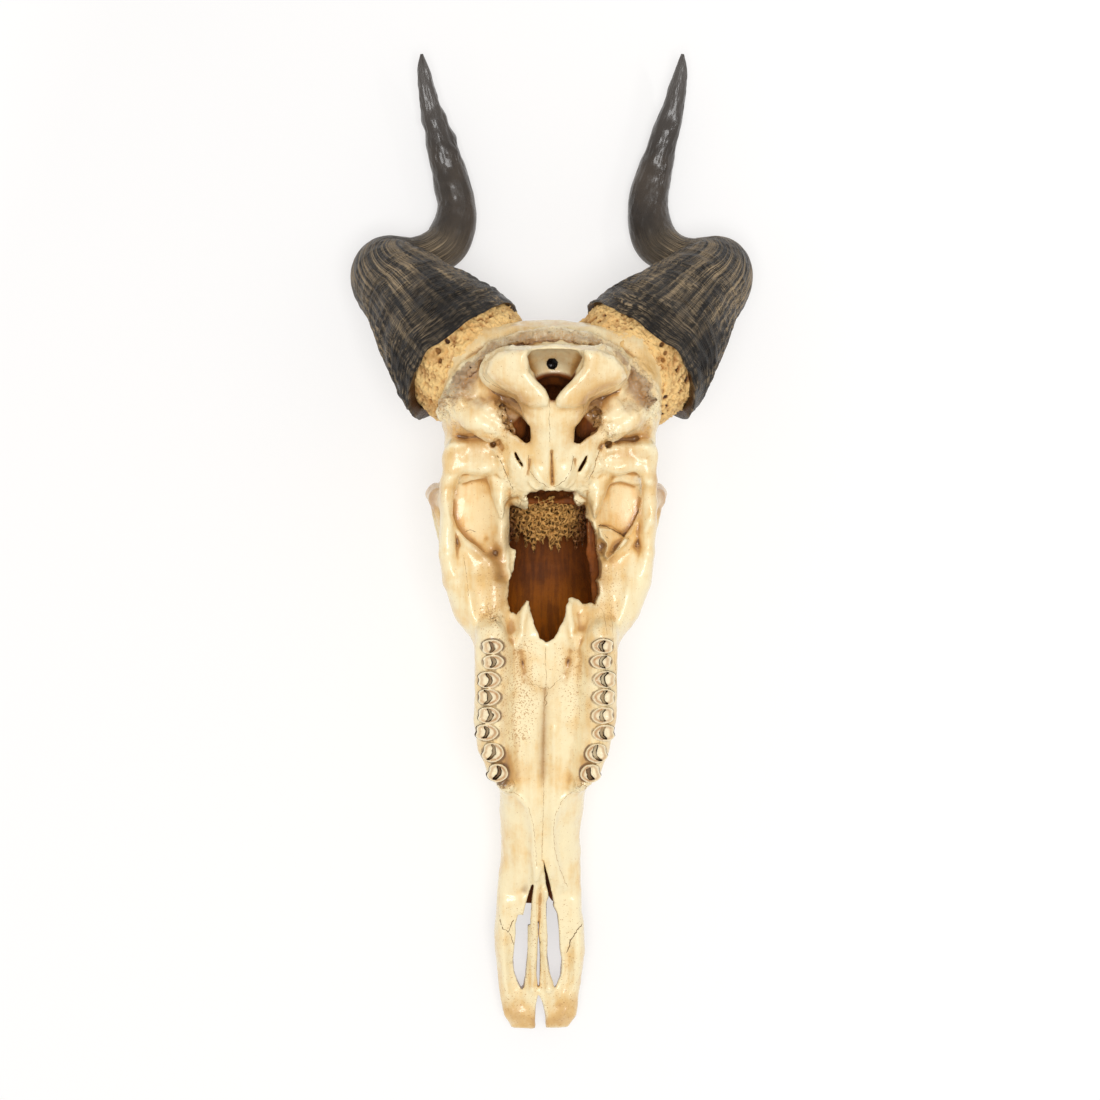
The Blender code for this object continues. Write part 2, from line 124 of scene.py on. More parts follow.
class Finish:
    """A material's node tree round its Principled shader."""

    def __init__(self, name):
        self.material = bpy.data.materials.new(name)
        self.material.use_nodes = True
        self.tree = self.material.node_tree
        self.shader = self.tree.nodes["Principled BSDF"]

    def node(self, kind, settings=None, **values):
        """Adds a node: its settings first, then values or wires for its sockets, with _ for a space."""
        made = self.tree.nodes.new("ShaderNode" + kind)
        for key, value in (settings or {}).items():
            setattr(made, key, value)
        for key, value in values.items():
            join(self.tree, value, made.inputs[key.replace("_", " ")])
        return made

    def out(self, node, name=0):
        return Wire(self.tree, node.outputs[name])

    def place(self):
        """The piece's own coordinates in metres."""
        return self.out(self.node("TexCoord"), "Object")

    def attribute(self, name):
        """A number kept at each point of the mesh."""
        return self.out(self.node("Attribute", {"attribute_name": name}), "Fac")

    def noise(self, scale, detail=4.0, rough=0.55, at=None, stretch=(1, 1, 1), warp=0.0):
        """Cloudy noise, about 0 to 1, with this many features to the metre."""
        spot = at or self.place()
        moved = self.node("Mapping", Vector=spot, Scale=stretch)
        made = self.node("TexNoise", Vector=self.out(moved), Scale=scale, Detail=detail, Roughness=rough,
                         Distortion=warp)
        return self.out(made)

    def mix(self, share, first, second):
        """Colour between two, by a share from 0 to 1."""
        made = self.node("Mix", {"data_type": "RGBA"})
        join(self.tree, share, made.inputs[0])
        for slot, value in ((made.inputs[6], first), (made.inputs[7], second)):
            join(self.tree, value if isinstance(value, Wire) else (*value, 1.0), slot)
        return Wire(self.tree, made.outputs[2])

    def bump(self, height, strength, depth):
        made = self.node("Bump", Height=height, Strength=strength, Distance=depth)
        join(self.tree, self.out(made), self.shader.inputs["Normal"])

    def set(self, **values):
        for key, value in values.items():
            join(self.tree, value, self.shader.inputs[key.replace("_", " ")])


# A white sheet under the skull, lit by a bright sky of the studio's white walls and by three soft boxes:
# one above, one at the upper left that puts the highlights on the bone, and one at the upper right.
SHEET_SIZE = 6.0
SHEET_WHITE = (0.42, 0.415, 0.41)
SHEET_GREY = (0.38, 0.38, 0.38)
SHEET_GLOW_WHITE = (1.0, 0.99, 0.985, 1.0)
SHEET_GLOW = 0.56
SHEET_DOWN = -0.0002
SKY_WHITE = (1.0, 0.99, 0.98)
SKY_POWER = 0.56
LIGHTS_AIM = (0, 0, 0.1)

sheet_mesh = bpy.data.meshes.new("table_sheet")
edge = SHEET_SIZE / 2
corners = [(x, y, SHEET_DOWN) for x, y in ((-edge, -edge), (edge, -edge), (edge, edge), (-edge, edge))]
sheet_mesh.from_pydata(corners, [], [(0, 1, 2, 3)])
sheet = linked("table_sheet", sheet_mesh)
paper = Finish("white_paper")
paper_grain = paper.noise(900.0)
# The sheet also glows by itself: painted light that lifts the shadows under the skull, and the floor seen through the
# slits, to near white.
paper.set(Base_Color=paper.mix(paper_grain * 0.04, SHEET_WHITE, SHEET_GREY), Roughness=0.9,
          Emission_Color=SHEET_GLOW_WHITE, Emission_Strength=SHEET_GLOW)
sheet_mesh.materials.append(paper.material)

sky = bpy.data.worlds.new("studio_walls")
sky.use_nodes = True
sky.node_tree.nodes["Background"].inputs["Color"].default_value = (*SKY_WHITE, 1.0)
sky.node_tree.nodes["Background"].inputs["Strength"].default_value = SKY_POWER
bpy.context.scene.world = sky


def soft_box(name, place, width, height, power, colour=(1.0, 1.0, 1.0)):
    """Rectangular area light at a place in metres, turned towards the skull."""
    light = bpy.data.lights.new(name, "AREA")
    light.shape = "RECTANGLE"
    light.size = width
    light.size_y = height
    light.energy = power
    light.color = colour
    lamp = linked(name, light)
    lamp.location = place
    axis = np.subtract(LIGHTS_AIM, place)
    lamp.rotation_euler = (math.acos(-axis[2] / np.linalg.norm(axis)), 0, math.atan2(axis[0], -axis[1]))


soft_box("box_left", (-1.7, 0.7, 1.7), 1.0, 1.3, 160.0, (1.0, 0.99, 0.975))
soft_box("box_right", (1.7, 0.6, 1.9), 0.8, 1.2, 66.0)
soft_box("box_above", (0.1, -0.3, 3.0), 1.2, 1.2, 48.0)


# Cranium: one fused bone with the nose and the brain hollow inside, a broken throat opening and slits in the front
# of the palate. It is shaped in a block of distances, as a modeller adds and cuts clay, because holes and plates run
# through it in every direction, and the skin is then worked out.
STEP = 0.95
BLOCK_LOW = (-76.0, -284.0, -3.0)
BLOCK_HIGH = (76.0, 135.0, 176.0)
FAR = 40.0
BENT_AT = (-277.0, -205.0, -150.0, -84.0, 28.0, 60.0, 100.0)
BENT_BY = (-5.2, -6.0, -5.2, -4.0, -3.0, -1.5, 0.0)
ROLL = 0.03
ROLL_HEIGHT = 90.0
SIDES = (("right", 1), ("left", -1))


def placed(points, bent=True):
    """Points in millimetres, first bent the way this skull grew, then centred, in metres."""
    points = np.array(points, float)
    if bent:
        points[:, 0] += np.interp(points[:, 1], BENT_AT, BENT_BY) + ROLL * (points[:, 2] - ROLL_HEIGHT)
    return (points - (0, CENTRE_Y, REST_FLAT)) * MM


def melt(first, second, blend):
    """Smooth minimum: two shapes flow into each other over the blend's width."""
    share = np.clip(0.5 + 0.5 * (second - first) / blend, 0, 1)
    return second + (first - second) * share - blend * share * (1 - share)


CORNERS = [(i, j, k) for i in (0, 1) for j in (0, 1) for k in (0, 1)]


def mixed(table, base, share, period=None):
    """Straight mixing of a table's values at the eight corners of the cell round each point."""
    total = np.zeros(len(base))
    for corner in CORNERS:
        weight = np.prod(np.abs(1 - np.array(corner) - share), axis=1)
        spot = base + corner
        total += weight * table[tuple((spot if period is None else spot % period).T)]
    return total


class Clay:
    """Distances to a surface on an even grid, negative inside the bone."""

    def __init__(self, low, high, step):
        self.step = step
        self.low = np.array(low, np.float32)
        self.axes = [np.arange(a, b, step, dtype=np.float32) for a, b in zip(low, high)]
        self.field = np.full([len(axis) for axis in self.axes], FAR, np.float32)

    def window(self, low, high):
        """The part of the grid between two corners, with its coordinates ready to broadcast."""
        where = []
        for axis, a, b in zip(self.axes, low, high):
            where.append(slice(int(np.searchsorted(axis, a)), int(np.searchsorted(axis, b))))
        x, y, z = (axis[part] for axis, part in zip(self.axes, where))
        return tuple(where), x[:, None, None], y[None, :, None], z[None, None, :]

    def add(self, shape, blend=4.0):
        distance, low, high = shape
        where, x, y, z = self.window(np.subtract(low, 9 + blend), np.add(high, 9 + blend))
        self.field[where] = melt(self.field[where], distance(x, y, z), blend)

    def cut(self, shape, blend=1.2):
        distance, low, high = shape
        where, x, y, z = self.window(np.subtract(low, 4 + blend), np.add(high, 4 + blend))
        self.field[where] = -melt(-self.field[where], distance(x, y, z), blend)

    def skin(self):
        """Surface nets: one point in each cell that the surface crosses, and a quad round each crossed edge."""
        inside = self.field < 0
        shape = np.array(inside.shape) - 1
        count = np.zeros(shape, np.int8)
        for i, j, k in CORNERS:
            count += inside[i : i + shape[0], j : j + shape[1], k : k + shape[2]]
        cells = np.argwhere((count > 0) & (count < 8))
        number = np.full(shape, -1, np.int64)
        number[tuple(cells.T)] = np.arange(len(cells))
        values = np.stack([self.field[tuple((cells + corner).T)] for corner in CORNERS], axis=1)
        total = np.zeros((len(cells), 3))
        hits = np.zeros(len(cells))
        for a in range(8):
            for b in range(a + 1, 8):
                if sum(p != q for p, q in zip(CORNERS[a], CORNERS[b])) != 1:
                    continue
                first, second = values[:, a], values[:, b]
                crossed = (first < 0) != (second < 0)
                share = np.where(crossed, first / np.where(crossed, first - second, 1), 0)[:, None]
                spot = np.array(CORNERS[a]) * (1 - share) + np.array(CORNERS[b]) * share
                total += spot * crossed[:, None]
                hits += crossed
        points = self.low + (cells + total / hits[:, None]) * self.step
        faces = []
        for axis in range(3):
            u, v = (axis + 1) % 3, (axis + 2) % 3
            first = np.take(inside, range(shape[axis]), axis)
            second = np.take(inside, range(1, shape[axis] + 1), axis)
            for low_is_bone in (True, False):
                edges = np.argwhere((first != second) & (first == low_is_bone))
                edges = edges[(edges[:, u] > 0) & (edges[:, v] > 0)]
                edges = edges[(edges[:, u] < shape[u]) & (edges[:, v] < shape[v])]
                ring = []
                for du, dv in ((-1, -1), (0, -1), (0, 0), (-1, 0)):
                    cell = edges.copy()
                    cell[:, u] += du
                    cell[:, v] += dv
                    ring.append(number[tuple(cell.T)])
                quads = np.stack(ring if low_is_bone else ring[::-1], axis=1)
                faces.append(quads)
        return points, np.concatenate(faces)

    def sample(self, values, points):
        """Values of a grid at points between its nodes, by straight mixing of the eight round each."""
        spot = (points - self.low) / self.step
        spot = np.clip(spot, 0, np.array(values.shape) - 1.001)
        base = spot.astype(int)
        return mixed(values, base, spot - base)

    def fullness(self, reach):
        """Share of bone in a box of this half width round each grid node: over a half in hollows, less on ridges."""
        solid = (self.field < 0).astype(np.float32)
        cells = max(1, int(round(reach / self.step)))
        for axis in range(3):
            padded = np.concatenate((np.repeat(np.take(solid, [0], axis), cells + 1, axis), solid,
                                     np.repeat(np.take(solid, [-1], axis), cells, axis)), axis)
            run = np.cumsum(padded, axis)
            wide = 2 * cells + 1
            solid = (np.take(run, range(wide, run.shape[axis]), axis)
                     - np.take(run, range(run.shape[axis] - wide), axis)) / wide
        return solid


def ball(centre, radii):
    """Ellipsoid: distance from the two scaled lengths of a point."""
    def distance(x, y, z):
        px, py, pz = x - centre[0], y - centre[1], z - centre[2]
        near = np.sqrt((px / radii[0]) ** 2 + (py / radii[1]) ** 2 + (pz / radii[2]) ** 2)
        steep = np.sqrt((px / radii[0] ** 2) ** 2 + (py / radii[1] ** 2) ** 2 + (pz / radii[2] ** 2) ** 2)
        return near * (near - 1) / np.maximum(steep, 1e-5)
    return distance, np.subtract(centre, radii), np.add(centre, radii)


def limb(rows):
    """Bone along a line of rows x, y, z, half width, half height. Near each stretch, a point is measured
    against the oval that slides along it."""
    rows = np.array(rows, float)

    def distance(x, y, z):
        best = None
        for start, end in zip(rows, rows[1:]):
            axis = end[:3] - start[:3]
            length = axis @ axis
            share = ((x - start[0]) * axis[0] + (y - start[1]) * axis[1] + (z - start[2]) * axis[2]) / length
            share = np.clip(share, 0, 1)
            wide = start[3] + (end[3] - start[3]) * share
            tall = start[4] + (end[4] - start[4]) * share
            least = np.minimum(wide, tall)
            px = (x - start[0] - axis[0] * share) / wide
            py = (y - start[1] - axis[1] * share) / np.maximum(least, 0.5 * wide)
            pz = (z - start[2] - axis[2] * share) / tall
            here = (np.sqrt(px**2 + py**2 + pz**2) - 1) * least
            best = here if best is None else melt(best, here, 1.0)
        return best
    reach = rows[:, 3:].max(axis=1)[:, None]
    return distance, (rows[:, :3] - reach).min(axis=0), (rows[:, :3] + reach).max(axis=0)


def hull(rows, power=2.8):
    """Long body of rounded boxes: rows y, low, high, half width below, half width above."""
    rows = np.array(rows, float)

    def distance(x, y, z):
        low, high, below, above = (np.interp(y, rows[:, 0], rows[:, i]) for i in (1, 2, 3, 4))
        half = (high - low) / 2
        up = (z - (low + high) / 2) / half
        wide = below + (above - below) * (np.clip(up, -1, 1) + 1) / 2
        round_off = (np.abs(x / wide) ** power + np.abs(up) ** power) ** (1 / power)
        body = (round_off - 1) * np.minimum(wide, half) * 0.9
        return np.maximum(body, np.maximum(rows[0, 0] - y, y - rows[-1, 0]))
    reach = rows[:, 3:].max()
    return distance, (-reach, rows[0, 0], rows[:, 1].min()), (reach, rows[-1, 0], rows[:, 2].max())


def edge_distance(x, y, start, end):
    """Distance in plan to a straight edge."""
    (ax, ay), (bx, by) = start, end
    share = ((x - ax) * (bx - ax) + (y - ay) * (by - ay)) / ((bx - ax) ** 2 + (by - ay) ** 2)
    share = np.clip(share, 0, 1)
    return np.hypot(x - ax - (bx - ax) * share, y - ay - (by - ay) * share)


def outline_distance(x, y, points):
    """Distance in plan to a closed outline, negative inside, from its straight edges."""
    points = np.array(points, float)
    best = np.inf
    inside = False
    for (ax, ay), (bx, by) in zip(points, np.roll(points, -1, axis=0)):
        best = np.minimum(best, edge_distance(x, y, (ax, ay), (bx, by)))
        crosses = ((y < ay) != (y < by)) & (x < ax + (y - ay) * (bx - ax) / ((by - ay) or 1e-9))
        inside = inside ^ crosses
    return np.where(inside, -best, best)


def well(points, low, high, ragged=0.0):
    """Upright shaft with this outline in plan; ragged moves its edge in and out by so much."""
    points = np.array(points, float)

    def distance(x, y, z):
        edge = outline_distance(x, y, points)
        broad = np.sin(x * 1.3 + 2 * np.sin(y * 0.9)) * np.cos(y * 1.1 - x * 0.3)
        edge = edge + ragged * (broad + 0.5 * np.sin(x * 2.9) * np.sin(y * 2.3))
        return np.maximum(edge, np.maximum(low - z, z - high))
    return distance, (*points.min(axis=0), low), (*points.max(axis=0), high)


def slab(points, low, top, lean, soft):
    """Solid with this outline in plan, a flat top that leans by so much to the millimetre, and rounded edges."""
    points = np.array(points, float)
    middle = points.mean(axis=0)

    def distance(x, y, z):
        side = outline_distance(x, y, points) + soft
        up = z - top - lean[0] * (x - middle[0]) - lean[1] * (y - middle[1]) + soft
        rounded = np.minimum(np.maximum(side, up), 0) + np.hypot(np.maximum(side, 0), np.maximum(up, 0)) - soft
        return np.maximum(rounded, low - z)
    return distance, (*points.min(axis=0), low), (*points.max(axis=0), top + 12)


FACE = (
    (-280, 13, 20, 14, 18),
    (-272, 11, 25.5, 19, 22.5),
    (-252, 9, 33, 22, 25.5),
    (-232, 8, 41.5, 24, 27.5),
    (-212, 4, 48.5, 21, 28.6),
    (-190, 0, 57.5, 16, 28),
    (-165, 1, 68.5, 16, 27.2),
    (-140, 3, 80.5, 18, 28.2),
    (-125, 5, 87, 20, 31),
    (-100, 8, 98, 23, 39),
    (-70, 13, 112, 27, 43),
    (-48, 18, 119, 33, 43.5),
    (-25, 23, 112, 41, 38),
    (0, 27, 106, 47, 30),
)
NOSE_HOLLOW = (
    (-292, -30, 9, 11, 11),
    (-262, -30, 17, 17, 17),
    (-235, -30, 33, 20, 22),
    (-211, -6, 41, 18, 22),
    (-208, 6.5, 42, 18, 22),
    (-203, 4.5, 44.5, 14, 21),
    (-190, 4, 51, 12, 21),
    (-165, 5, 62, 12, 20.5),
    (-140, 7, 74, 14, 21.5),
    (-125, 9, 80, 16, 25),
    (-100, 12, 91, 19, 28),
    (-70, 17, 104, 23, 29),
    (-40, 23, 112, 29, 29),
    (-8, 30, 100, 27, 30),
    (26, 44, 92, 20, 24),
)
FOREHEAD = (
    (-60, 17, 37, 28, 28),
    (-30, 23, 48, 46, 46),
    (0, 29, 57, 58, 58),
    (28, 33, 66, 63, 63),
    (55, 37, 82, 56, 56),
    (85, 42, 102, 48, 48),
    (108, 48, 114, 43, 43),
    (119, 58, 114, 38, 38),
    (125, 70, 110, 32, 32),
    (128.5, 82, 101, 18, 18),
    (130, 88, 96, 5, 5),
)
CHEEK_ARCH = (
    (52.5, 56, 118, 5.5, 7),
    (56, 38, 116, 4.5, 6.5),
    (56.5, 16, 110, 4, 7.5),
    (56, -2, 106, 4.5, 9),
    (52, -18, 103, 6, 10),
    (45, -34, 104, 6, 9),
)
PALATE_SLOPE = 0.4663
TOOTH_BED = ((31, -47, 7.5), (29.5, -56, 9.5), (29.5, -76, 10), (30, -95, 10), (27.5, -111, 9.5), (24.5, -124, 8),
             (21, -133, 5))
EYE_STEPS = 24
THROAT = (
    (-12.5, 31.5), (-4.5, 33.5), (3.5, 33), (13.5, 32.5), (14.5, 28), (18.5, 22), (24.5, 15), (27, 9.5),
    (27.5, 0.5), (29.5, -7.5), (30, -14), (28, -17), (29.5, -24), (26.5, -30), (20, -30.5), (16.2, -28),
    (14.3, -26.5), (12.5, -28), (9.5, -38), (6.5, -46), (3.2, -50.8), (-0.5, -51.6), (-4, -49), (-7, -42),
    (-9, -34), (-10.3, -28.5), (-12, -28.3), (-14, -33), (-17, -35.8), (-20.2, -35), (-22.5, -28),
    (-21.5, -20), (-19, -11), (-18, -4), (-17.5, 11), (-15, 18), (-11, 23.5),
)
FRAME = 1100
FRAME_MIDDLE = (552.1, 550)
HEIGHTS_SEEN = ((320, 105), (345, 120), (365, 140), (395, 150), (430, 132), (480, 124), (560, 112), (620, 115),
                (640, 120), (780, 86), (850, 66), (900, 53), (950, 43), (1000, 31), (1030, 24))


def seen(points, height=None):
    """Places on the teeth side of the skull, taken in the camera's frame of 1100 by 1100 and moved down to about
    the height of the bone there, or to a given height, as x and y on the unbent skull."""
    points = np.array(points, float)
    if height is None:
        rows, heights = zip(*HEIGHTS_SEEN)
        height = np.interp(points[:, 1], rows, heights)
    scale = VIEW_WIDTH / FRAME * (VIEW_HEIGHT - height) / VIEW_DISTANCE
    y = (FRAME_MIDDLE[1] - points[:, 1]) * scale
    x = (points[:, 0] - FRAME_MIDDLE[0]) * scale - np.interp(y, BENT_AT, BENT_BY) - ROLL * (height - ROLL_HEIGHT)
    return [tuple(pair) for pair in np.stack((x, y), axis=1)]


def seen_limb(rows):
    """Rows of frame x, frame y, height, half width, half height for a limb."""
    places = seen([row[:2] for row in rows])
    return limb([(*place, *row[2:]) for place, row in zip(places, rows)])


def basin(points, bowl):
    """The part of a bowl that lies inside an outline in plan."""
    rounded, low, high = bowl
    points = np.array(points, float)

    def distance(x, y, z):
        return np.maximum(rounded(x, y, z), outline_distance(x, y, points))
    return distance, low, high


clay = Clay(BLOCK_LOW, BLOCK_HIGH, STEP)
clay.add(hull(FACE))
clay.add(hull(FOREHEAD, 2.4), 8)
clay.add(ball((0, 70, 98), (43, 50, 42)), 8)
# Shield at the back of the head, with the crest round it
clay.add(ball((0, 82, 110), (56, 34, 26)), 6)
clay.add(ball((0, 99, 126), (33, 17, 22)), 6)
for name, side in SIDES:
    # Foot of the horn, with a smooth band between the crest and the rough collar
    clay.add(limb(((side * 24, 88, 90, 31, 35), (side * 40, 102, 82, 31, 37))), 6)
    clay.add(limb(((side * 54, 72, 98, 7, 11), (side * 50.5, 88, 103, 8, 10), (side * 42, 105, 107, 9.5, 10),
                   (side * 22, 117, 107, 9, 9))), 5)
    clay.add(limb(((side * 52, 84, 104, 7.5, 12), (side * 51.5, 50, 104, 7.5, 12))), 4)
crest = seen_limb(((443, 412, 108, 3.5, 5), (448, 398, 113, 3.5, 5), (457, 382, 117, 4, 5), (470, 366, 121, 4, 5),
                   (492, 349, 124, 4, 5), (520, 339, 126, 4, 4.5), (552, 336, 127, 4.5, 4.5), (588, 340, 126, 4, 4.5),
                   (618, 353, 123, 4, 5), (640, 375, 118, 4, 5), (652, 395, 113, 3.5, 5), (657, 411, 108, 3.5, 5)))
clay.add(crest, 2.5)
# Pillar of the skull base, and its pair of tubercles
clay.add(limb(((0, 28, 112, 10, 8), (0, 44, 122, 12.5, 11), (0, 58, 130, 12, 11), (0, 74, 140, 16, 12),
               (0, 86, 146, 18, 12))), 3)
for place in ((538, 472), (566, 471)):
    spot = seen((place,))[0]
    clay.add(ball((*spot, 129), (6.2, 10, 7)), 2)
for name, side in SIDES:
    # Neck that carries the condyle from the shield down to the pillar
    clay.add(ball((side * 24, 99, 139), (18, 13, 17)), 5)
    clay.add(limb(((side * 17, 95, 146, 12, 13), (side * 10, 85, 147, 9, 11), (side * 6, 76, 143, 8, 9))), 5)
    # Shoulder behind the ear, with the stump of the jugular process
    clay.add(ball((side * 44, 84, 112), (16, 22, 20)), 6)
    clay.add(limb(((side * 50, 80, 123, 7, 8), (side * 43, 73, 128, 7.5, 7), (side * 34, 66, 130, 6, 6))), 2.5)
    clay.add(limb(((side * 30, 84, 128, 5, 6), (side * 36, 78, 130, 4, 6), (side * 28, 70, 128, 4, 6))), 2)
    # Hinge of the jaw and the bone between it and the skull base
    clay.add(limb(((side * 22, 52, 114, 9, 8), (side * 38, 51, 117, 14, 9), (side * 52, 52, 117, 8, 8))), 4)
    clay.add(limb(((side * 19, 42, 114, 6, 8), (side * 25, 56, 120, 7, 8))), 4)
    clay.add(limb(((side * 17, 38, 116, 3.5, 5), (side * 22, 44, 119, 3.5, 5), (side * 24, 54, 121, 4, 5))), 2)
    # Wing that walls the throat opening, and the broken spikes on it
    clay.add(limb(((side * 28, 34, 106, 6, 12), (side * 26, 14, 99, 5, 13), (side * 27, -4, 98, 5, 13),
                   (side * 29, -20, 102, 6, 14), (side * 30, -44, 108, 7, 13))), 4)
    clay.add(limb(((side * 26, 36, 112, 5, 8), (side * 27, 24, 114, 3, 6), (side * 26.5, 18, 117, 1.6, 3))), 2)
    # Wall of the bay between the brain case and the arch
    clay.add(limb(((side * 36, 46, 90, 15, 22), (side * 41, 22, 90, 15, 24), (side * 40, -4, 88, 13, 24))), 5)
    clay.add(limb([(side * x, *rest) for x, *rest in CHEEK_ARCH]), 4)
    clay.add(ball((side * 40, -12, 72), (15, 26, 22)), 6)
    # Cheek behind the teeth, and the bone that holds the teeth
    clay.add(limb(((side * 47, -8, 98, 10, 11), (side * 41, -26, 103, 10, 12), (side * 34, -46, 106, 8, 12),
                   (side * 31, -66, 104, 7, 11))), 6)
    clay.add(ball((side * 36, -24, 99), (17, 25, 16)), 6)
    clay.add(limb([(side * x, y, 50 + (y + 205) * PALATE_SLOPE - 2.6, wide, 9.5) for x, y, wide in TOOTH_BED]), 5)
    # Ring round the eye, and the strut behind it
    ring = []
    for i in range(EYE_STEPS + 1):
        t = 2 * math.pi * i / EYE_STEPS
        ring.append((side * (56.5 + 6.5 * math.sin(t)), 9 + 25 * math.sin(t), 72 + 27 * math.cos(t), 4, 4))
    clay.add(limb(ring), 4)
    clay.add(limb(((side * 57, 34, 52, 6, 5), (side * 64, 32, 76, 5, 4.5), (side * 62, 30, 92, 5, 5),
                   (side * 56, 26, 110, 4, 5))), 4)

# Condyles: two broad sheets with clear edges, one each side of the spinal opening
CONDYLE_LEFT = seen(((485, 373), (488, 362), (497, 353.5), (512, 350), (528, 349.5), (529, 372), (537, 381),
                     (546, 390), (549, 398), (547, 406), (531, 407), (521, 402), (516, 395), (505, 390),
                     (494, 383)), 158)
CONDYLE_RIGHT = seen(((583, 349.5), (600, 351), (613, 356), (624, 366), (628, 377), (619, 386), (604, 392),
                      (590, 398), (586, 405), (575, 408), (557, 407), (555, 398), (560, 391), (570, 382),
                      (582, 368)), 158)
for outline, side in ((CONDYLE_LEFT, -1), (CONDYLE_RIGHT, 1)):
    clay.add(slab(outline, 122, 166.2, (-0.20 * side, 0.32), 5.0), 2.5)
clay.add(limb(((-25, 107, 148, 5, 9), (0, 108.5, 147, 5, 9), (25, 107, 148, 5, 9))), 5)

hollow = Clay(BLOCK_LOW, BLOCK_HIGH, STEP)
hollow.add(hull(NOSE_HOLLOW, 2.4))
hollow.add(ball((0, 62, 98), (33, 36, 29)), 4)
hollow.add(limb(((0, 74, 108, 12, 12), (0, 85, 128, 13.5, 11), (0, 91, 152, 12.5, 9.5))), 4)
clay.field = -melt(-clay.field, hollow.field, 1.5)
# Funnel of the spinal opening, with the hole bored through its back wall for hanging
FORAMEN = seen(((527, 357), (532, 351), (542, 349), (552, 348.5), (564, 349), (576, 351), (582, 357), (580, 364),
                (573, 375), (565, 384), (559, 392), (555, 399), (551.5, 399), (547, 390), (540, 380),
                (531, 369)), 155)
clay.cut(basin(FORAMEN, ball((0, 97, 168), (27, 16, 38))), 1.5)
BORED = seen(((552.5, 362.8),), 140)[0]
clay.cut(limb(((*BORED, 165, 2.7, 2.7), (*BORED, 112, 2.7, 2.7))), 0.4)
clay.cut(well(THROAT, 90, 150, 0.55), 0.8)
for name, side in SIDES:
    clay.cut(ball((side * 58, 9, 70), (27, 20, 22)), 2)

WINDOW_LEFT = seen(((457.5, 484), (470, 479), (488, 477), (492, 486), (497, 500), (504, 514), (505, 530), (500, 546),
                    (490, 557), (478, 548), (466, 539), (457, 527), (453, 514), (452.5, 500), (454, 490)))
WINDOW_RIGHT = seen(((609, 484), (622, 481), (640, 485), (643, 498), (641, 512), (634, 526), (622, 540), (608, 557),
                     (599, 553), (593, 540), (592, 522), (597, 508), (604, 492)))
HOLLOW_LEFT = seen(((504, 402), (512, 407), (521, 415), (530.5, 427), (531, 443), (525, 444), (517, 437), (508, 432),
                    (502, 424), (500, 412)))
HOLLOW_RIGHT = seen(((600, 402), (592, 408), (584, 416), (575, 428), (573.5, 443), (580, 444), (588, 437), (596, 432),
                     (601, 424), (603, 412)))
SLIT_EAR_LEFT = seen(((513.5, 451), (516, 452), (523.5, 464), (523.5, 468), (520.5, 467), (515, 459)))
SLIT_EAR_RIGHT = seen(((588, 455), (585.5, 456), (578, 468), (577, 472.5), (580, 472), (586, 463)))
OVAL_LEFT = seen(((506, 505), (511, 497), (519, 495), (523, 501), (519, 508), (511, 513), (506, 511)))
OVAL_RIGHT = seen(((569, 492), (577, 491), (586, 498), (589, 508), (584, 513), (576, 508), (571, 500)))
BOWLS = (
    (WINDOW_LEFT, (-48, 20, 131), (25, 42, 34)),
    (WINDOW_RIGHT, (49, 18, 131), (26, 42, 34)),
    (OVAL_LEFT, (-20, 25, 121), (8, 8, 12)),
    (OVAL_RIGHT, (17, 28, 121), (8, 8, 12)),
    (HOLLOW_LEFT, (-13, 67, 131), (18, 19, 27)),
    (HOLLOW_RIGHT, (11, 67, 131), (18, 19, 27)),
)
for outline, centre, radii in BOWLS:
    clay.cut(basin(outline, ball(centre, radii)), 1.0)
for outline in (SLIT_EAR_LEFT, SLIT_EAR_RIGHT):
    clay.cut(well(outline, 112, 160), 0.8)
for name, side in SIDES:
    # Spike that points forwards beside the throat opening
    clay.add(limb(((side * 30, 44, 112, 6, 7), (side * 28.5, 32, 113, 4, 6), (side * 27.5, 25, 113.5, 2.6, 4.5),
                   (side * 26.5, 18.5, 114, 1.0, 2.5))), 1.5)
# Sloping inner walls in the hollows beside the pillar
for name, side in SIDES:
    clay.add(ball((side * 25, 76, 110), (13, 15, 11)), 1)
    clay.add(limb(((side * 27, 84, 119, 5, 6), (side * 21, 74, 116, 4, 6), (side * 18, 66, 110, 4, 6))), 2)
# Broken struts of the ear capsule across the dark hollows
for rows in (((497, 402, 127, 1.6, 2), (503, 411, 126, 1.1, 1.5), (506, 420, 124, 0.9, 1)),
             ((493, 414, 127, 1.8, 2), (500, 420, 127, 1.3, 2), (507, 418, 125, 0.8, 1)),
             ((498, 432, 122, 2, 3), (506, 427, 124, 1.3, 2), (512, 428, 122, 0.8, 1)),
             ((515, 437, 120, 1.5, 2), (514, 429, 122, 1.0, 1.5), (511, 423, 121, 0.7, 1)),
             ((606, 402, 127, 1.6, 2), (600, 413, 126, 1.1, 1.5), (596, 421, 124, 0.9, 1)),
             ((611, 418, 126, 2, 2), (602, 422, 127, 1.4, 2), (594, 426, 124, 0.8, 1)),
             ((608, 434, 122, 2, 3), (600, 431, 124, 1.3, 2), (592, 433, 122, 0.8, 1)),
             ((516, 463, 122, 1, 2), (519, 461, 122, 0.6, 1), (521, 460, 122, 0.6, 1))):
    clay.add(seen_limb(rows), 1.2)
# Small pits under the shoulder
for px, py, height, size in ((501.5, 405, 129, 3), (599, 411, 129, 3), (497, 456, 122, 1.8), (493, 444, 124, 2.2),
                             (609, 444, 124, 2.2), (461, 437, 124, 2)):
    spot = seen(((px, py),))[0]
    clay.cut(ball((*spot, height), (size, size, size * 1.8)), 0.8)

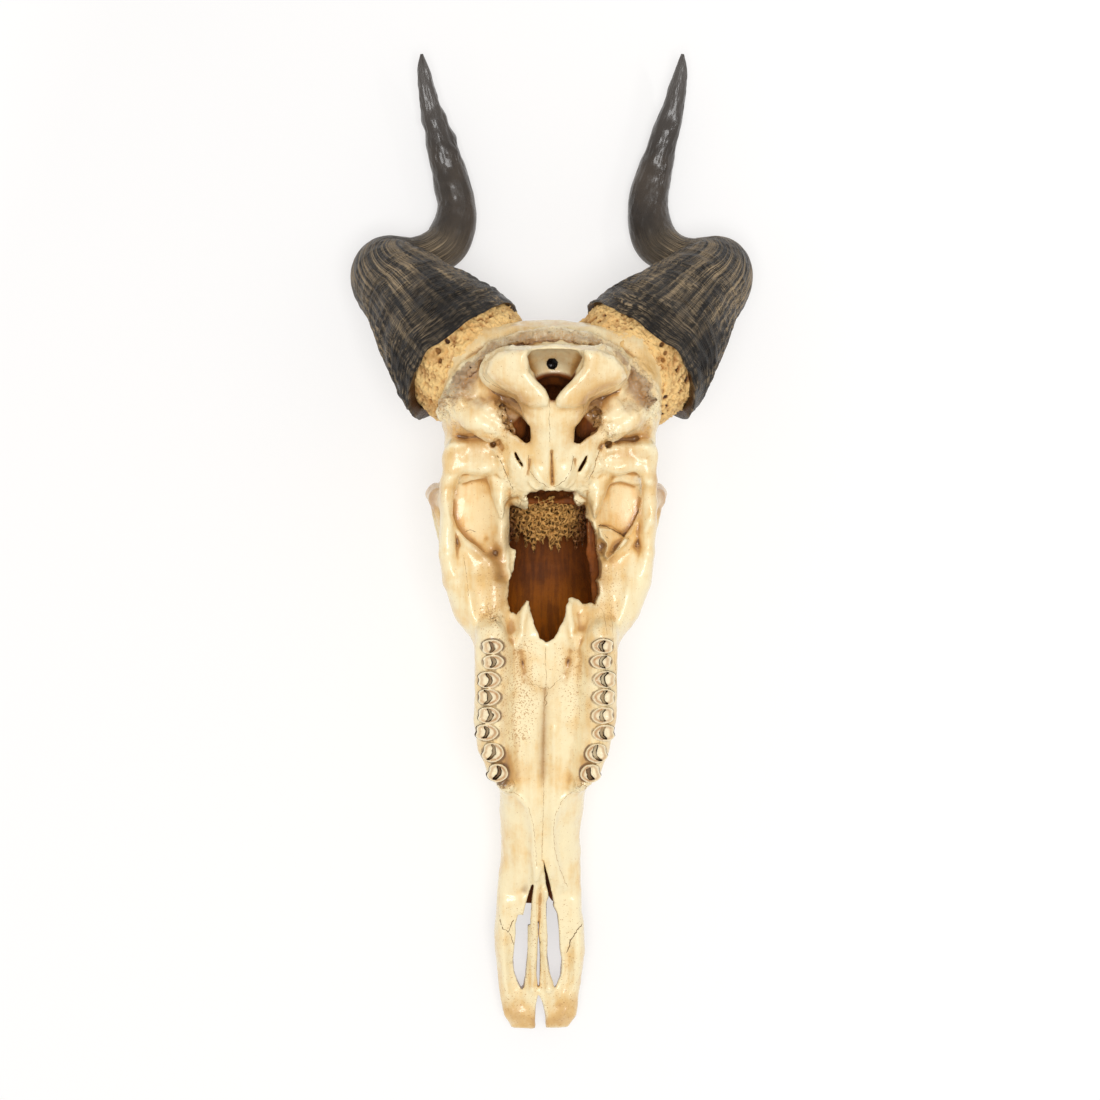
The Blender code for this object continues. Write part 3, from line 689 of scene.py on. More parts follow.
# Slits in the front of the palate
SLIT_LEFT = ((-12.2, -211), (-6.7, -211), (-6.8, -231), (-8.3, -248), (-9.9, -256.6), (-12, -253), (-14.5, -246),
             (-15.1, -239), (-14.3, -228), (-13.8, -217))
SLIT_RIGHT = ((4.3, -202), (6.1, -202.4), (10.2, -210.5), (11.4, -221), (11.8, -232), (12.9, -238), (12.1, -248.6),
              (9.8, -254.8), (8.2, -255.6), (6.2, -246), (4.7, -236), (4.1, -221))
SLIT_MIDDLE = ((-1.2, -214), (-0.4, -214), (0.2, -236), (0.1, -254.5), (-1.2, -254.5), (-1.6, -247), (-1.2, -236))
THIN_LEFT = seen(((532.5, 884), (534.5, 884), (532, 897), (531, 926), (522, 926), (524, 912), (528, 898)))
THIN_RIGHT = seen(((542.7, 860), (544.4, 860), (547.5, 872), (550, 884), (552.5, 896), (554, 906), (548, 906),
                   (549, 896), (546, 884), (544, 872)))
NOTCH = ((-0.9, -259), (-2.1, -266), (-2.9, -275), (-2.4, -284), (3.9, -284), (3.4, -273), (1.6, -264), (-0.4, -259))
for outline in (SLIT_LEFT, SLIT_RIGHT, SLIT_MIDDLE, NOTCH):
    clay.cut(well(outline, -10, 90), 0.6)
for outline in (THIN_LEFT, THIN_RIGHT):
    clay.cut(well(outline, 34, 90), 0.5)


CHART_STEP = 0.5


class Chart:
    """Numbers over the skull seen from above, on an even grid."""

    def __init__(self):
        self.x = np.arange(BLOCK_LOW[0], BLOCK_HIGH[0], CHART_STEP)
        self.y = np.arange(BLOCK_LOW[1], BLOCK_HIGH[1], CHART_STEP)
        self.map = np.zeros((len(self.x), len(self.y)))

    def window(self, points, reach):
        points = np.array(points, float)
        i, j = (np.searchsorted(axis, points[:, k].min() - reach) for k, axis in enumerate((self.x, self.y)))
        p, q = (np.searchsorted(axis, points[:, k].max() + reach) for k, axis in enumerate((self.x, self.y)))
        return (slice(i, p), slice(j, q)), self.x[i:p, None], self.y[None, j:q]

    def stroke(self, places, width, height, sharp=2.0):
        """Ridge or groove along a line: height times e to the minus (distance / width) to a power."""
        points = seen(places)
        where, x, y = self.window(points, 2.6 * width)
        best = np.inf
        for start, end in zip(points, points[1:]):
            best = np.minimum(best, edge_distance(x, y, start, end))
        self.map[where] += height * np.exp(-((best / width) ** sharp))

    def patch(self, places, soft, height):
        """Even rise or fall inside an outline, with soft edges of this width."""
        points = seen(places)
        where, x, y = self.window(points, soft)
        share = np.clip(0.5 - outline_distance(x, y, points) / soft, 0, 1)
        self.map[where] += height * share * share * (3 - 2 * share)

    def at(self, x, y):
        """Values at points between the nodes."""
        a = np.clip((x - self.x[0]) / CHART_STEP, 0, len(self.x) - 1.001)
        b = np.clip((y - self.y[0]) / CHART_STEP, 0, len(self.y) - 1.001)
        i, j = a.astype(int), b.astype(int)
        p, q = a - i, b - j
        return ((self.map[i, j] * (1 - p) + self.map[i + 1, j] * p) * (1 - q)
                + (self.map[i, j + 1] * (1 - p) + self.map[i + 1, j + 1] * p) * q)


form = Chart()
# Hollow vault of the palate between the teeth, its folds, and the raised sockets along the rows
form.stroke(((548, 650), (545, 700), (543, 770)), 13, -3.2)
form.stroke(((554, 730), (554, 790), (552, 840), (551, 872)), 2.2, 1.7)
form.stroke(((530, 735), (531, 790), (535, 850), (536, 880)), 2.0, 1.3)
form.stroke(((545, 690), (543, 760), (542, 860)), 1.3, -0.9)
form.stroke(((500, 783), (511, 786)), 3.5, 1.6)
form.stroke(((586, 783), (576, 787)), 3.5, 1.6)
# Arched crests in front of the teeth, with the flat cheeks of the snout outside them
form.patch(((497, 800), (517, 803), (527, 815), (531, 850), (528, 895), (497, 900)), 7, -2.6)
form.patch(((583, 800), (570, 804), (560, 815), (556, 850), (562, 895), (584, 900)), 7, -2.6)
form.stroke(((503, 790), (518, 796), (528, 808), (532, 825), (534, 850), (535, 880)), 1.3, 1.3)
form.stroke(((586, 785), (573, 791), (561, 801), (555, 815), (553, 838), (556, 862), (562, 885)), 1.3, 1.3)
# Slim bars between the slits, and the rims and tips of the snout
form.patch(((510, 896), (530, 880), (552, 880), (572, 898), (571, 992), (512, 992)), 9, -3.4)
form.stroke(((538, 868), (535, 888), (534, 940), (532, 990)), 2.3, 3.8)
form.stroke(((546, 892), (545, 940), (549, 990)), 2.3, 3.8)
form.stroke(((517, 1003), (530, 1008)), 5, -1.6)
form.stroke(((566, 1003), (552, 1008)), 5, -1.6)
form.stroke(((500, 870), (500, 930), (504, 980), (514, 1020)), 3.2, 2.0)
form.stroke(((582, 870), (582, 930), (577, 980), (562, 1020)), 3.2, 2.0)
form.stroke(((511, 935), (513, 980), (522, 1005)), 3.0, -1.5)
form.stroke(((571, 935), (569, 980), (558, 1005)), 3.0, -1.5)
# Jaw hinges: a shallow trough on each, with a groove behind
form.stroke(((449, 456), (470, 455), (492, 456)), 5, -2.0)
form.stroke(((606, 458), (630, 457), (652, 460)), 4.5, -2.4)
form.stroke(((447, 444), (470, 442), (488, 444)), 2.5, 1.6)
form.stroke(((610, 446), (632, 443), (650, 446)), 2.5, 1.6)
form.stroke(((447, 478), (462, 474), (488, 471)), 3, 1.8)
form.stroke(((612, 474), (634, 476), (650, 482)), 3, 1.8)
form.stroke(((460, 437), (470, 434), (484, 434), (494, 438), (503, 447)), 2.4, -3.2)
form.stroke(((602, 447), (609, 442), (622, 438), (636, 438)), 2.4, -3.2)
form.stroke(((498, 440), (505, 458), (508, 474)), 2.2, -2.5)
form.stroke(((602, 444), (596, 460), (592, 476)), 2.2, -2.5)
# Pillar: groove between the tubercles and the rims round them
form.stroke(((551, 452), (551.5, 468), (552, 484)), 1.7, -4.2)
form.stroke(((531, 456), (532, 466), (538, 478), (546, 486)), 1.2, 1.1)
form.stroke(((573, 456), (572, 466), (566, 478), (557, 486)), 1.2, 1.1)
form.stroke(((530, 460), (528, 474), (536, 486)), 1.6, -3.0)
form.stroke(((574, 460), (576, 474), (568, 486)), 1.6, -3.0)
# Grooves under the condyles
form.stroke(((493, 385), (505, 392), (516, 398)), 2.0, -2.0)
form.stroke(((619, 388), (604, 394), (590, 401)), 2.0, -2.0)
form.stroke(((500, 393), (503, 402)), 3.0, -3.0)
form.stroke(((607, 394), (602, 404)), 3.0, -3.0)
# Crest: a broken double edge, with a shallow bay on each side of it
form.stroke(((452, 396), (463, 376), (480, 357), (505, 345), (530, 340)), 1.4, 1.6)
form.stroke(((575, 340), (600, 344), (622, 356), (640, 373), (652, 396)), 1.4, 1.6)
form.stroke(((470, 374), (486, 359), (510, 349), (552, 345), (592, 349), (616, 359), (632, 374)), 2.2, -2.2)
form.stroke(((455, 376), (470, 358), (492, 342), (520, 332), (552, 329), (590, 333), (622, 346), (643, 368)),
            3.0, -1.6)
form.patch(((461, 380), (476, 370), (484, 378), (484, 398), (468, 402), (460, 394)), 6, -3.5)
form.patch(((628, 378), (640, 380), (648, 396), (640, 406), (626, 398)), 6, -3.5)
# Broken flap of bone in the right bay, and the nooks beside the throat
form.patch(((598, 527), (612, 528), (630, 540), (619, 551), (607, 561), (602, 556), (606, 545), (599, 537)), 1.6, 8.0)
form.patch(((599, 540), (604, 545), (602, 554), (596, 552), (595, 542)), 2.5, -4.0)
form.stroke(((497, 554), (500, 564), (501, 576)), 3.5, -5.0)
form.stroke(((591, 560), (593, 570), (590, 578)), 3.5, -5.0)
form.stroke(((488, 540), (494, 552)), 4.0, -2.5)
form.stroke(((509, 552), (508, 566), (511, 580)), 1.2, 2.0)
# Cheeks: edge of the arch, hollow beside it, and the ridges that run to the teeth
form.stroke(((442, 487), (446, 510), (453, 526), (466, 543), (491, 562)), 1.8, 1.6)
form.stroke(((660, 487), (655, 512), (646, 528), (630, 545), (606, 562)), 1.8, 1.6)
form.stroke(((476, 566), (482, 600), (490, 628)), 6, -1.6)
form.stroke(((620, 566), (614, 600), (606, 628)), 6, -1.6)
form.stroke(((463, 550), (468, 585), (474, 630), (473, 700)), 2.6, 1.6)
form.stroke(((634, 552), (628, 590), (619, 630), (617, 700)), 2.6, 1.6)
form.stroke(((526, 603), (522, 622), (519, 645)), 2.4, 3.0)
form.stroke(((567, 600), (571, 622), (574, 645)), 2.4, 3.0)
form.stroke(((513, 615), (512, 628)), 3.0, -2.0)
form.stroke(((578, 615), (580, 628)), 3.0, -2.0)
# Openings for vessels in the palate
form.stroke(((522.5, 662), (523.5, 668), (524, 674)), 1.6, -1.6)
form.stroke(((568.5, 661), (567.5, 668), (565, 675)), 1.6, -1.6)
form.stroke(((523, 664), (521, 650), (519, 630)), 1.8, -1.4)
form.stroke(((568, 663), (571, 650), (574, 632)), 1.8, -1.4)


def lift(block, chart):
    """Slides each column of the block up by the chart's height, fading out below the middle of the skull."""
    x, y, z = block.axes
    rise = chart.at(x[:, None] + 0 * y[None, :], y[None, :] + 0 * x[:, None])
    middle = np.interp(y, (-280, -200, -120, -50, 30, 110), (16, 26, 50, 75, 85, 90))
    weight = np.clip((z[None, :] - middle[:, None]) / 12, 0, 1)
    for i in range(len(x)):
        spot = (z[None, :] - rise[i][:, None] * weight - z[0]) / block.step
        spot = np.clip(spot, 0, len(z) - 1.001)
        base = spot.astype(int)
        share = (spot - base).astype(np.float32)
        row = np.arange(len(y))[:, None]
        block.field[i] = block.field[i][row, base] * (1 - share) + block.field[i][row, base + 1] * share


lift(clay, form)
points, quads = clay.skin()


def surface(name, points, faces, bent=True):
    """Mesh object at the origin, with its place in its points and a list of faces."""
    mesh = bpy.data.meshes.new(name)
    mesh.from_pydata(placed(points, bent).tolist(), [], faces)
    mesh.update()
    mesh.shade_smooth()
    return linked(name, mesh)


def keep_numbers(mesh, **numbers):
    """Stores one number for each point of a mesh under each name."""
    for name, values in numbers.items():
        made = mesh.attributes.new(name, "FLOAT", "POINT")
        made.data.foreach_set("value", np.asarray(values, np.float32))


def point_rows(mesh, what="co"):
    rows = np.zeros(len(mesh.vertices) * 3, np.float32)
    if what == "co":
        mesh.vertices.foreach_get("co", rows)
    else:
        mesh.vertex_normals.foreach_get("vector", rows)
    return rows.reshape(-1, 3)


def thinned(piece, triangles, hidden=None):
    """Thins a mesh to this many triangles, more where the numbers in hidden are high."""
    thin = piece.modifiers.new("thin", "DECIMATE")
    thin.ratio = min(1.0, triangles / (2 * len(piece.data.polygons)))
    if hidden is not None:
        group = piece.vertex_groups.new(name="hidden")
        for level in range(1, 11):
            group.add(np.flatnonzero(np.round(hidden * 10) == level).tolist(), level / 10, "REPLACE")
        thin.vertex_group = group.name
        thin.vertex_group_factor = 1.0
    graph = bpy.context.evaluated_depsgraph_get()
    mesh = bpy.data.meshes.new_from_object(piece.evaluated_get(graph))
    piece.modifiers.clear()
    piece.vertex_groups.clear()
    piece.data = mesh
    mesh.shade_smooth()


BONE_TRIANGLES = 192000
cranium = surface("skull_bone", points, quads.tolist())
facing = point_rows(cranium.data, "normal")[:, 2]
shown = np.clip((facing + 0.35) / 0.5, 0, 1) * np.clip((points[:, 2] - 8) / 12, 0, 1)
thinned(cranium, BONE_TRIANGLES, 1 - 0.85 * shown)
mesh = cranium.data
rows = point_rows(mesh).astype(float) / MM + (0, CENTRE_Y, REST_FLAT)


def uneven(points, size, seed, cubes=41):
    """Noise from -1 to 1 in space: chance values at the corners of cubes of this size, mixed with smooth steps.
    It comes round again after so many cubes."""
    table = np.random.default_rng(seed).uniform(-1, 1, (cubes, cubes, cubes))
    spot = points / size
    base = np.floor(spot).astype(int)
    share = spot - base
    return mixed(table, base, share * share * (3 - 2 * share), cubes)


straight = rows.copy()
straight[:, 0] -= np.interp(rows[:, 1], BENT_AT, BENT_BY) + ROLL * (rows[:, 2] - ROLL_HEIGHT)
upward = np.clip(point_rows(mesh, "normal")[:, 2] * 1.6, 0, 1)

# Natural unevenness, and rough broken ground along the crest
rough = Chart()
rough.stroke(((443, 407), (452, 390), (467, 370), (492, 349), (520, 340), (552, 337), (592, 341), (625, 356),
              (648, 383), (656, 408)), 5.5, 1.0)
rough.stroke(((497, 405), (505, 418), (508, 430)), 4, 0.9)
rough.stroke(((596, 412), (606, 425), (612, 436)), 4, 0.9)
rough.stroke(((492, 436), (500, 450), (508, 470), (510, 490)), 5, 0.45)
rough.stroke(((606, 440), (600, 456), (592, 474), (588, 488)), 5, 0.45)
rough.stroke(((470, 380), (468, 396), (462, 402)), 6, 0.45)
rough.stroke(((632, 384), (640, 398), (634, 408)), 6, 0.45)
rough.stroke(((505, 514), (512, 512), (528, 494), (566, 491), (586, 508), (590, 526)), 2.5, 0.5)
rough.stroke(((447, 395), (444, 415), (455, 428)), 4, 0.7)
rough.stroke(((652, 395), (657, 415), (648, 428)), 4, 0.8)
rough.stroke(((489, 613), (497, 620)), 3.5, 0.9)
rough.stroke(((501, 783), (512, 786)), 3.5, 1.0)
rough.stroke(((586, 783), (576, 787)), 3.5, 1.0)
roughness = rough.at(straight[:, 0], straight[:, 1]) * upward
outside = np.clip((clay.sample(hollow.field, straight) - 1.5) / 2, 0, 1)
push = 0.8 * uneven(rows, 16.0, 1) + 0.35 * uneven(rows, 6.0, 2) + 0.14 * uneven(rows, 2.4, 3)
broken = 1.6 * np.abs(uneven(rows, 4.6, 4)) + 1.5 * np.abs(uneven(rows, 2.4, 5)) + 0.8 * uneven(rows, 1.5, 6)
push = push * outside + roughness * (broken * 2.0 - 1.8)
push = push * np.clip((rows[:, 2] - 1.5) / 3, 0, 1)
normals = point_rows(mesh, "normal").astype(float)
moved = rows + normals * push[:, None]
moved[:, 2] = np.maximum(moved[:, 2], REST_FLAT)
mesh.vertices.foreach_set("co", placed(moved, False).astype(np.float32).ravel())
mesh.update()

# Broken edges, sutures and cracks: fine dark lines let into the surface
# Each is a thin tube along a line, dropped on to the bone from above.
CRACK_FAINT = (0.66, 0.42, 0.17)
CRACK_DARK = (0.09, 0.035, 0.009)
LINES = (
    # darkness, radius, places
    (0.35, 0.22, ((547, 643), (546, 660), (547, 676), (546, 690), (544, 704), (544, 730), (543, 760), (543, 790),
                  (542, 812), (541, 835), (540, 858))),
    (0.45, 0.22, ((526, 679), (530, 681), (533, 685), (537, 684), (540, 688), (544, 689), (547, 686), (550, 689),
                  (554, 686), (556, 682), (560, 680), (564, 674))),
    (0.6, 0.3, ((546, 690), (548, 694), (545, 699), (547, 704), (544, 708))),
    (0.3, 0.2, ((505, 791), (513, 793), (520, 797), (528, 808), (532, 825), (534, 850), (535, 872))),
    (0.3, 0.2, ((573, 791), (566, 796), (560, 802), (554, 815), (552, 830), (553, 850), (558, 870), (566, 890))),
    (0.75, 0.34, ((497, 916), (498, 923), (500, 930), (503, 931), (506, 933), (508, 926), (511, 920), (515, 921),
                  (519, 918))),
    (0.6, 0.28, ((506, 933), (509, 940), (511, 947), (515, 958))),
    (0.85, 0.4, ((584.5, 916), (582, 923), (577, 928), (573, 933), (571, 937), (568, 941), (566, 948), (563, 955))),
    (0.7, 0.3, ((463, 531), (467, 531), (470, 530), (474, 531), (478, 533))),
    (0.9, 0.5, ((597, 527), (602, 525), (607, 526), (611, 529), (615, 530), (620, 533), (625, 536), (630, 539))),
    (0.7, 0.3, ((604, 533), (608, 538), (611, 541))),
    (0.55, 0.25, ((484, 374), (489, 381), (494, 384), (500, 387), (507, 390), (514, 395))),
    (0.6, 0.3, ((497, 452), (501, 459), (505, 468), (509, 477), (513, 486), (516, 493))),
    (0.6, 0.3, ((604, 446), (600, 453), (597, 461), (595, 470), (590, 480))),
    (0.55, 0.25, ((530, 452), (530, 463), (533, 474), (539, 481), (547, 486), (551, 488))),
    (0.55, 0.25, ((574, 452), (574, 463), (571, 473), (566, 481), (558, 486), (553, 488))),
    (0.45, 0.2, ((551.5, 399), (552, 410), (551, 420), (551.5, 432), (551, 445))),
    (0.4, 0.2, ((604, 385), (600, 391), (594, 398))),
    (0.25, 0.2, ((593, 596), (598, 604), (604, 612), (606, 624), (609, 640))),
    (0.25, 0.2, ((612, 600), (612, 620), (614, 640), (615, 660), (617, 680), (617, 700))),
    (0.35, 0.22, ((463, 552), (466, 566), (468, 582), (470, 600))),
    (0.7, 0.45, ((489, 615), (492, 619), (497, 617), (496, 622), (500, 624))),
    (0.5, 0.3, ((503, 786), (507, 782), (511, 787), (506, 790))),
    (0.5, 0.3, ((577, 789), (581, 783), (586, 786), (582, 791))),
    (0.4, 0.22, ((516, 394), (521, 402), (521, 412), (525, 420))),
    (0.4, 0.22, ((588, 394), (585, 402), (586, 410), (581, 419))),
    (0.4, 0.2, ((500, 507), (508, 498), (515, 493), (524, 497))),
    (0.5, 0.25, ((531, 492), (523, 499), (519, 508), (512, 518), (508, 530), (507, 548))),
    (0.5, 0.25, ((566, 492), (574, 498), (582, 503), (588, 510), (590, 524), (590, 545))),
)
tree = BVHTree.FromPolygons(point_rows(mesh).tolist(), [tuple(face.vertices) for face in mesh.polygons])


def on_bone(places):
    """Where lines straight down through these places meet the bone, in metres."""
    found = []
    flat = placed([(x, y, 100) for x, y in places])
    for x, y, z in flat:
        hit = tree.ray_cast(Vector((x, y, 0.3)), Vector((0, 0, -1)))[0]
        if hit:
            found.append((x, y, hit.z))
    return np.array(found)


def crack_line(places, radius, chance):
    """Tube of six sides along a line, with even steps and a slight shake, thin at both ends."""
    points = np.array(seen(places))
    length = np.concatenate(([0], np.cumsum(np.hypot(*np.diff(points, axis=0).T))))
    steps = np.linspace(0, length[-1], max(4, int(length[-1] / 0.9)))
    points = np.stack([np.interp(steps, length, points[:, i]) for i in (0, 1)], axis=1)
    points += chance.normal(0, 0.16, points.shape)
    spine = on_bone(points)
    steps = steps[: len(spine)] * length[-1] / steps[len(spine) - 1]
    height = spine[:, 2].copy()
    height[1:-1] = np.median(np.stack((height[:-2], height[1:-1], height[2:])), axis=0)
    spine[:, 2] = height - 0.00010
    along = np.gradient(spine, axis=0)
    along /= np.linalg.norm(along, axis=1)[:, None]
    across = np.cross(along, (0, 0, 1.0))
    across /= np.linalg.norm(across, axis=1)[:, None]
    up = np.cross(across, along)
    thick = 0.8 * radius * MM * np.clip(np.minimum(steps, length[-1] - steps) / 2.5, 0.15, 1)
    thick = thick * chance.uniform(0.6, 1.25, len(steps))
    turns = np.arange(6) * math.pi / 3
    spokes = across[:, None, :] * np.cos(turns)[:, None] + up[:, None, :] * np.sin(turns)[:, None]
    rings = spine[:, None, :] + spokes * thick[:, None, None]
    return rings.reshape(-1, 3)


chance = np.random.default_rng(12)
crack_points, crack_faces, crack_dark, base = [], [], [], 0
for darkness, radius, places in LINES:
    rings = crack_line(places, radius, chance)
    count = len(rings) // 6
    here = base + np.arange((count - 1) * 6).reshape(-1, 6)
    beside = np.roll(here, -1, axis=1)
    crack_faces += np.stack((here, beside, beside + 6, here + 6), axis=-1).reshape(-1, 4)[:, ::-1].tolist()
    crack_faces += [list(range(base, base + 6)), list(range(base + len(rings) - 6, base + len(rings)))[::-1]]
    crack_points.append(rings)
    crack_dark += [darkness] * len(rings)
    base += len(rings)
crack_mesh = bpy.data.meshes.new("bone_cracks")
crack_mesh.from_pydata(np.concatenate(crack_points).tolist(), [], crack_faces)
crack_mesh.update()
keep_numbers(crack_mesh, dark=crack_dark)
cracks = linked("bone_cracks", crack_mesh)
crack_paint = Finish("dirt_in_cracks")
filled = crack_paint.attribute("dark") + (crack_paint.noise(500.0) - 0.5) * 0.5
crack_tone = crack_paint.mix(filled, CRACK_FAINT, CRACK_DARK)
crack_paint.set(Base_Color=crack_tone, Roughness=0.7)
crack_mesh.materials.append(crack_paint.material)
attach(cracks, "root")

# Charts of the grey-brown staining, the freckled pores and the rough bone
stain = Chart()
stain.stroke(((443, 405), (450, 392), (462, 372), (488, 350), (520, 341), (552, 338), (590, 342), (622, 357),
              (645, 383), (655, 405)), 6.5, 0.75)
stain.stroke(((470, 378), (472, 395), (480, 402)), 6, 0.6)
stain.stroke(((630, 385), (640, 398), (628, 408)), 6, 0.55)
stain.stroke(((500, 405), (512, 412), (524, 430)), 4, 0.5)
warm = Chart()
warm.stroke(((488, 640), (482, 690), (482, 740), (494, 775)), 5, 0.35)
warm.stroke(((507, 640), (503, 690), (502, 740), (511, 778)), 2.6, 0.45)
warm.stroke(((588, 640), (590, 690), (588, 740), (579, 778)), 2.6, 0.45)
warm.patch(((508, 750), (516, 772), (512, 784), (500, 790), (498, 765)), 8, 0.9)
warm.patch(((583, 752), (577, 772), (572, 782), (584, 788), (594, 765)), 8, 0.7)
warm.stroke(((610, 640), (614, 690), (612, 740), (598, 775)), 5, 0.35)
warm.stroke(((523, 660), (524, 670), (525, 680)), 2.6, 0.6)
warm.stroke(((568, 662), (567, 670), (565, 680)), 2.6, 0.6)
warm.stroke(((505, 655), (520, 672), (530, 686)), 7, 0.35)
warm.stroke(((552, 686), (566, 672), (582, 668)), 6, 0.35)
warm.stroke(((450, 453), (470, 451), (490, 452)), 4, 0.3)
warm.stroke(((608, 455), (630, 453), (650, 456)), 4, 0.3)
warm.stroke(((429, 470), (429, 505)), 8, 1.3)
warm.stroke(((665, 480), (666, 510)), 7, 1.3)
warm.stroke(((508, 1012), (520, 1022), (532, 1026)), 10, 0.75)
warm.stroke(((571, 1010), (560, 1021), (548, 1026)), 10, 0.75)
warm.stroke(((545, 700), (546, 760)), 10, 0.35)
warm.stroke(((495, 395), (507, 398), (520, 405)), 5, 0.8)
warm.stroke(((608, 392), (600, 398), (585, 405)), 5, 0.8)
warm.stroke(((485, 565), (497, 575), (503, 600)), 6, 0.45)
warm.stroke(((605, 565), (600, 575), (594, 600)), 6, 0.45)
warm.stroke(((534, 890), (532, 985)), 3, 0.5)
warm.stroke(((546, 890), (549, 985)), 3, 0.5)
warm.stroke(((505, 406), (515, 418), (525, 434)), 8, 1.0)
warm.stroke(((599, 408), (590, 420), (580, 434)), 8, 1.0)
warm.patch(((499, 420), (510, 414), (530, 428), (530, 444), (516, 438), (502, 430)), 4, 0.6)
warm.patch(((605, 420), (594, 414), (575, 428), (573, 444), (588, 438), (603, 430)), 4, 0.6)
warm.stroke(((496, 552), (500, 564), (501, 577)), 5, 1.1)
warm.stroke(((591, 558), (593, 570), (590, 579)), 5, 1.1)
warm.stroke(((505, 508), (501, 530), (497, 548)), 6, 0.5)
warm.stroke(((592, 508), (594, 530), (598, 545)), 6, 0.5)
warm.stroke(((488, 480), (487, 490)), 4, 0.7)
warm.stroke(((608, 484), (608, 492)), 4, 0.7)
warm.stroke(((455, 488), (455, 515), (466, 538), (486, 555)), 3, 0.7)
warm.stroke(((641, 488), (640, 515), (626, 537), (608, 556)), 3, 0.6)
warm.stroke(((478, 560), (488, 590), (494, 625)), 10, 0.35)
warm.stroke(((618, 560), (610, 590), (604, 625)), 10, 0.35)
warm.stroke(((513, 612), (520, 632), (524, 650)), 6, 0.4)
warm.stroke(((578, 612), (574, 632), (570, 650)), 6, 0.4)
warm.stroke(((505, 700), (512, 745), (508, 775)), 6, 0.4)
warm.stroke(((450, 430), (470, 441), (498, 445)), 5, 0.5)
warm.stroke(((650, 430), (630, 442), (604, 446)), 5, 0.5)
warm.patch(((599, 540), (604, 545), (602, 554), (596, 552), (595, 542)), 3, 1.2)
warm.stroke(((500, 323), (470, 340), (452, 362)), 6, 0.45)
warm.stroke(((606, 323), (634, 342), (652, 366)), 6, 0.45)
warm.stroke(((520, 325), (552, 322), (586, 325)), 8, 0.5)
bored = Chart()
bored.stroke(((552.5, 356), (552.5, 368)), 4.0, 1.0, 6.0)
warm.patch(((450, 398), (466, 374), (490, 352), (540, 344), (602, 350), (640, 378), (653, 402), (645, 425),
            (610, 405), (575, 412), (530, 412), (498, 405), (462, 425)), 8, 0.42)
warm.patch(((448, 452), (470, 450), (500, 455), (505, 474), (478, 474), (450, 476)), 7, 0.35)
warm.patch(((598, 455), (630, 450), (656, 454), (655, 476), (625, 474), (598, 474)), 7, 0.35)
warm.patch(((452, 418), (475, 425), (498, 440), (478, 446), (450, 440)), 6, 0.45)
warm.patch(((652, 418), (630, 425), (606, 440), (628, 446), (654, 440)), 6, 0.45)
freckle = Chart()
freckle.patch(((503, 640), (537, 640), (540, 705), (530, 745), (506, 750), (500, 700)), 12, 1.0)
freckle.patch(((555, 645), (588, 650), (592, 710), (570, 730), (556, 690)), 12, 0.7)
freckle.patch(((480, 560), (505, 580), (505, 635), (478, 635)), 14, 0.6)
freckle.patch(((598, 560), (625, 570), (620, 635), (590, 635)), 14, 0.6)
freckle.patch(((498, 905), (600, 905), (580, 1030), (505, 1030)), 14, 0.45)

# A dark ring on the bone round each pillar of each cheek tooth, where the tooth meets it: kind, place in x and y,
# length, width, turn and number of pillars
PALATE_TILT = math.radians(25)
GRINDERS = (
    ("upper_molar_3", 30.2, -54.2, 19.2, 12.2, -4, 2),
    ("upper_molar_2", 32, -73.6, 22, 13, -1, 2),
    ("upper_molar_1", 32.2, -94.0, 22, 13, 5, 2),
    ("upper_premolar_4", 29, -110.6, 12.8, 12.6, 14, 1),
    ("upper_premolar_3", 26, -122.4, 12.2, 11.8, 16, 1),
)
CROWN = 9.2
socket = np.full(len(straight), 9.0)
for kind, x, y, length, width, angle, lobes in GRINDERS:
    for name, side in SIDES:
        turn = math.radians(angle) * side
        dx = straight[:, 0] - side * x
        dy = (straight[:, 1] - y) / math.cos(PALATE_TILT) + (CROWN - 0.6) * math.tan(PALATE_TILT)
        half = length / lobes / 2
        for k in range(lobes):
            p = (dy * math.cos(turn) - dx * math.sin(turn) - (2 * k - lobes + 1) * half) / half
            q = (dx * math.cos(turn) + dy * math.sin(turn)) / (width / 2)
            socket = np.minimum(socket, (np.hypot(p, q) - 1) * half)
socket = np.exp(-((np.maximum(socket, 0) / 1.1) ** 2)) * upward

from_bored = np.hypot(straight[:, 0] - BORED[0], straight[:, 1] - BORED[1])
throat_edge = outline_distance(straight[:, 0], straight[:, 1], THROAT)
under_lip = np.clip((104 - straight[:, 2]) / 6, 0, 1) * np.clip(0.6 - throat_edge / 4, 0, 1)
under_lip = under_lip * np.clip((straight[:, 2] - 22) / 4, 0, 1)
keep_numbers(
    mesh,
    throat=under_lip,
    crease=clay.sample(clay.fullness(3.5), straight),
    fine=clay.sample(clay.fullness(1.8), straight),
    inner=clay.sample(hollow.field, straight),
    # Painted light: the roof of the nose is made brighter where it runs forward under the palate, into the shade
    deep=np.clip((-14 - straight[:, 1]) / 36, 0, 1) * (straight[:, 1] > -75),
    stain=stain.at(straight[:, 0], straight[:, 1]) * upward,
    rough=roughness,
    socket=socket,
    freckle=freckle.at(straight[:, 0], straight[:, 1]) * upward,
    bored=bored.at(straight[:, 0], straight[:, 1]) * (from_bored < 2.9),
    warm=warm.at(straight[:, 0], straight[:, 1]) * np.clip(upward + 0.4, 0, 1),
)

BONE_PALE = (0.97, 0.83, 0.52)
BONE_HONEY = (0.87, 0.57, 0.22)
BONE_TAN = (0.52, 0.27, 0.085)
BONE_GREY = (0.36, 0.225, 0.13)
BONE_DIRT_AND_SHADE = (0.14, 0.055, 0.012)
BONE_INSIDE = (0.27, 0.068, 0.001)
BONE_INSIDE_DARK = (0.15, 0.036, 0.001)
BONE_INSIDE_PAINTED_LIGHT = (0.90, 0.27, 0.004)
BONE_INSIDE_DARK_PAINTED_LIGHT = (0.50, 0.145, 0.002)
BORED_PAINTED_SHADE = (0.02, 0.008, 0.003)

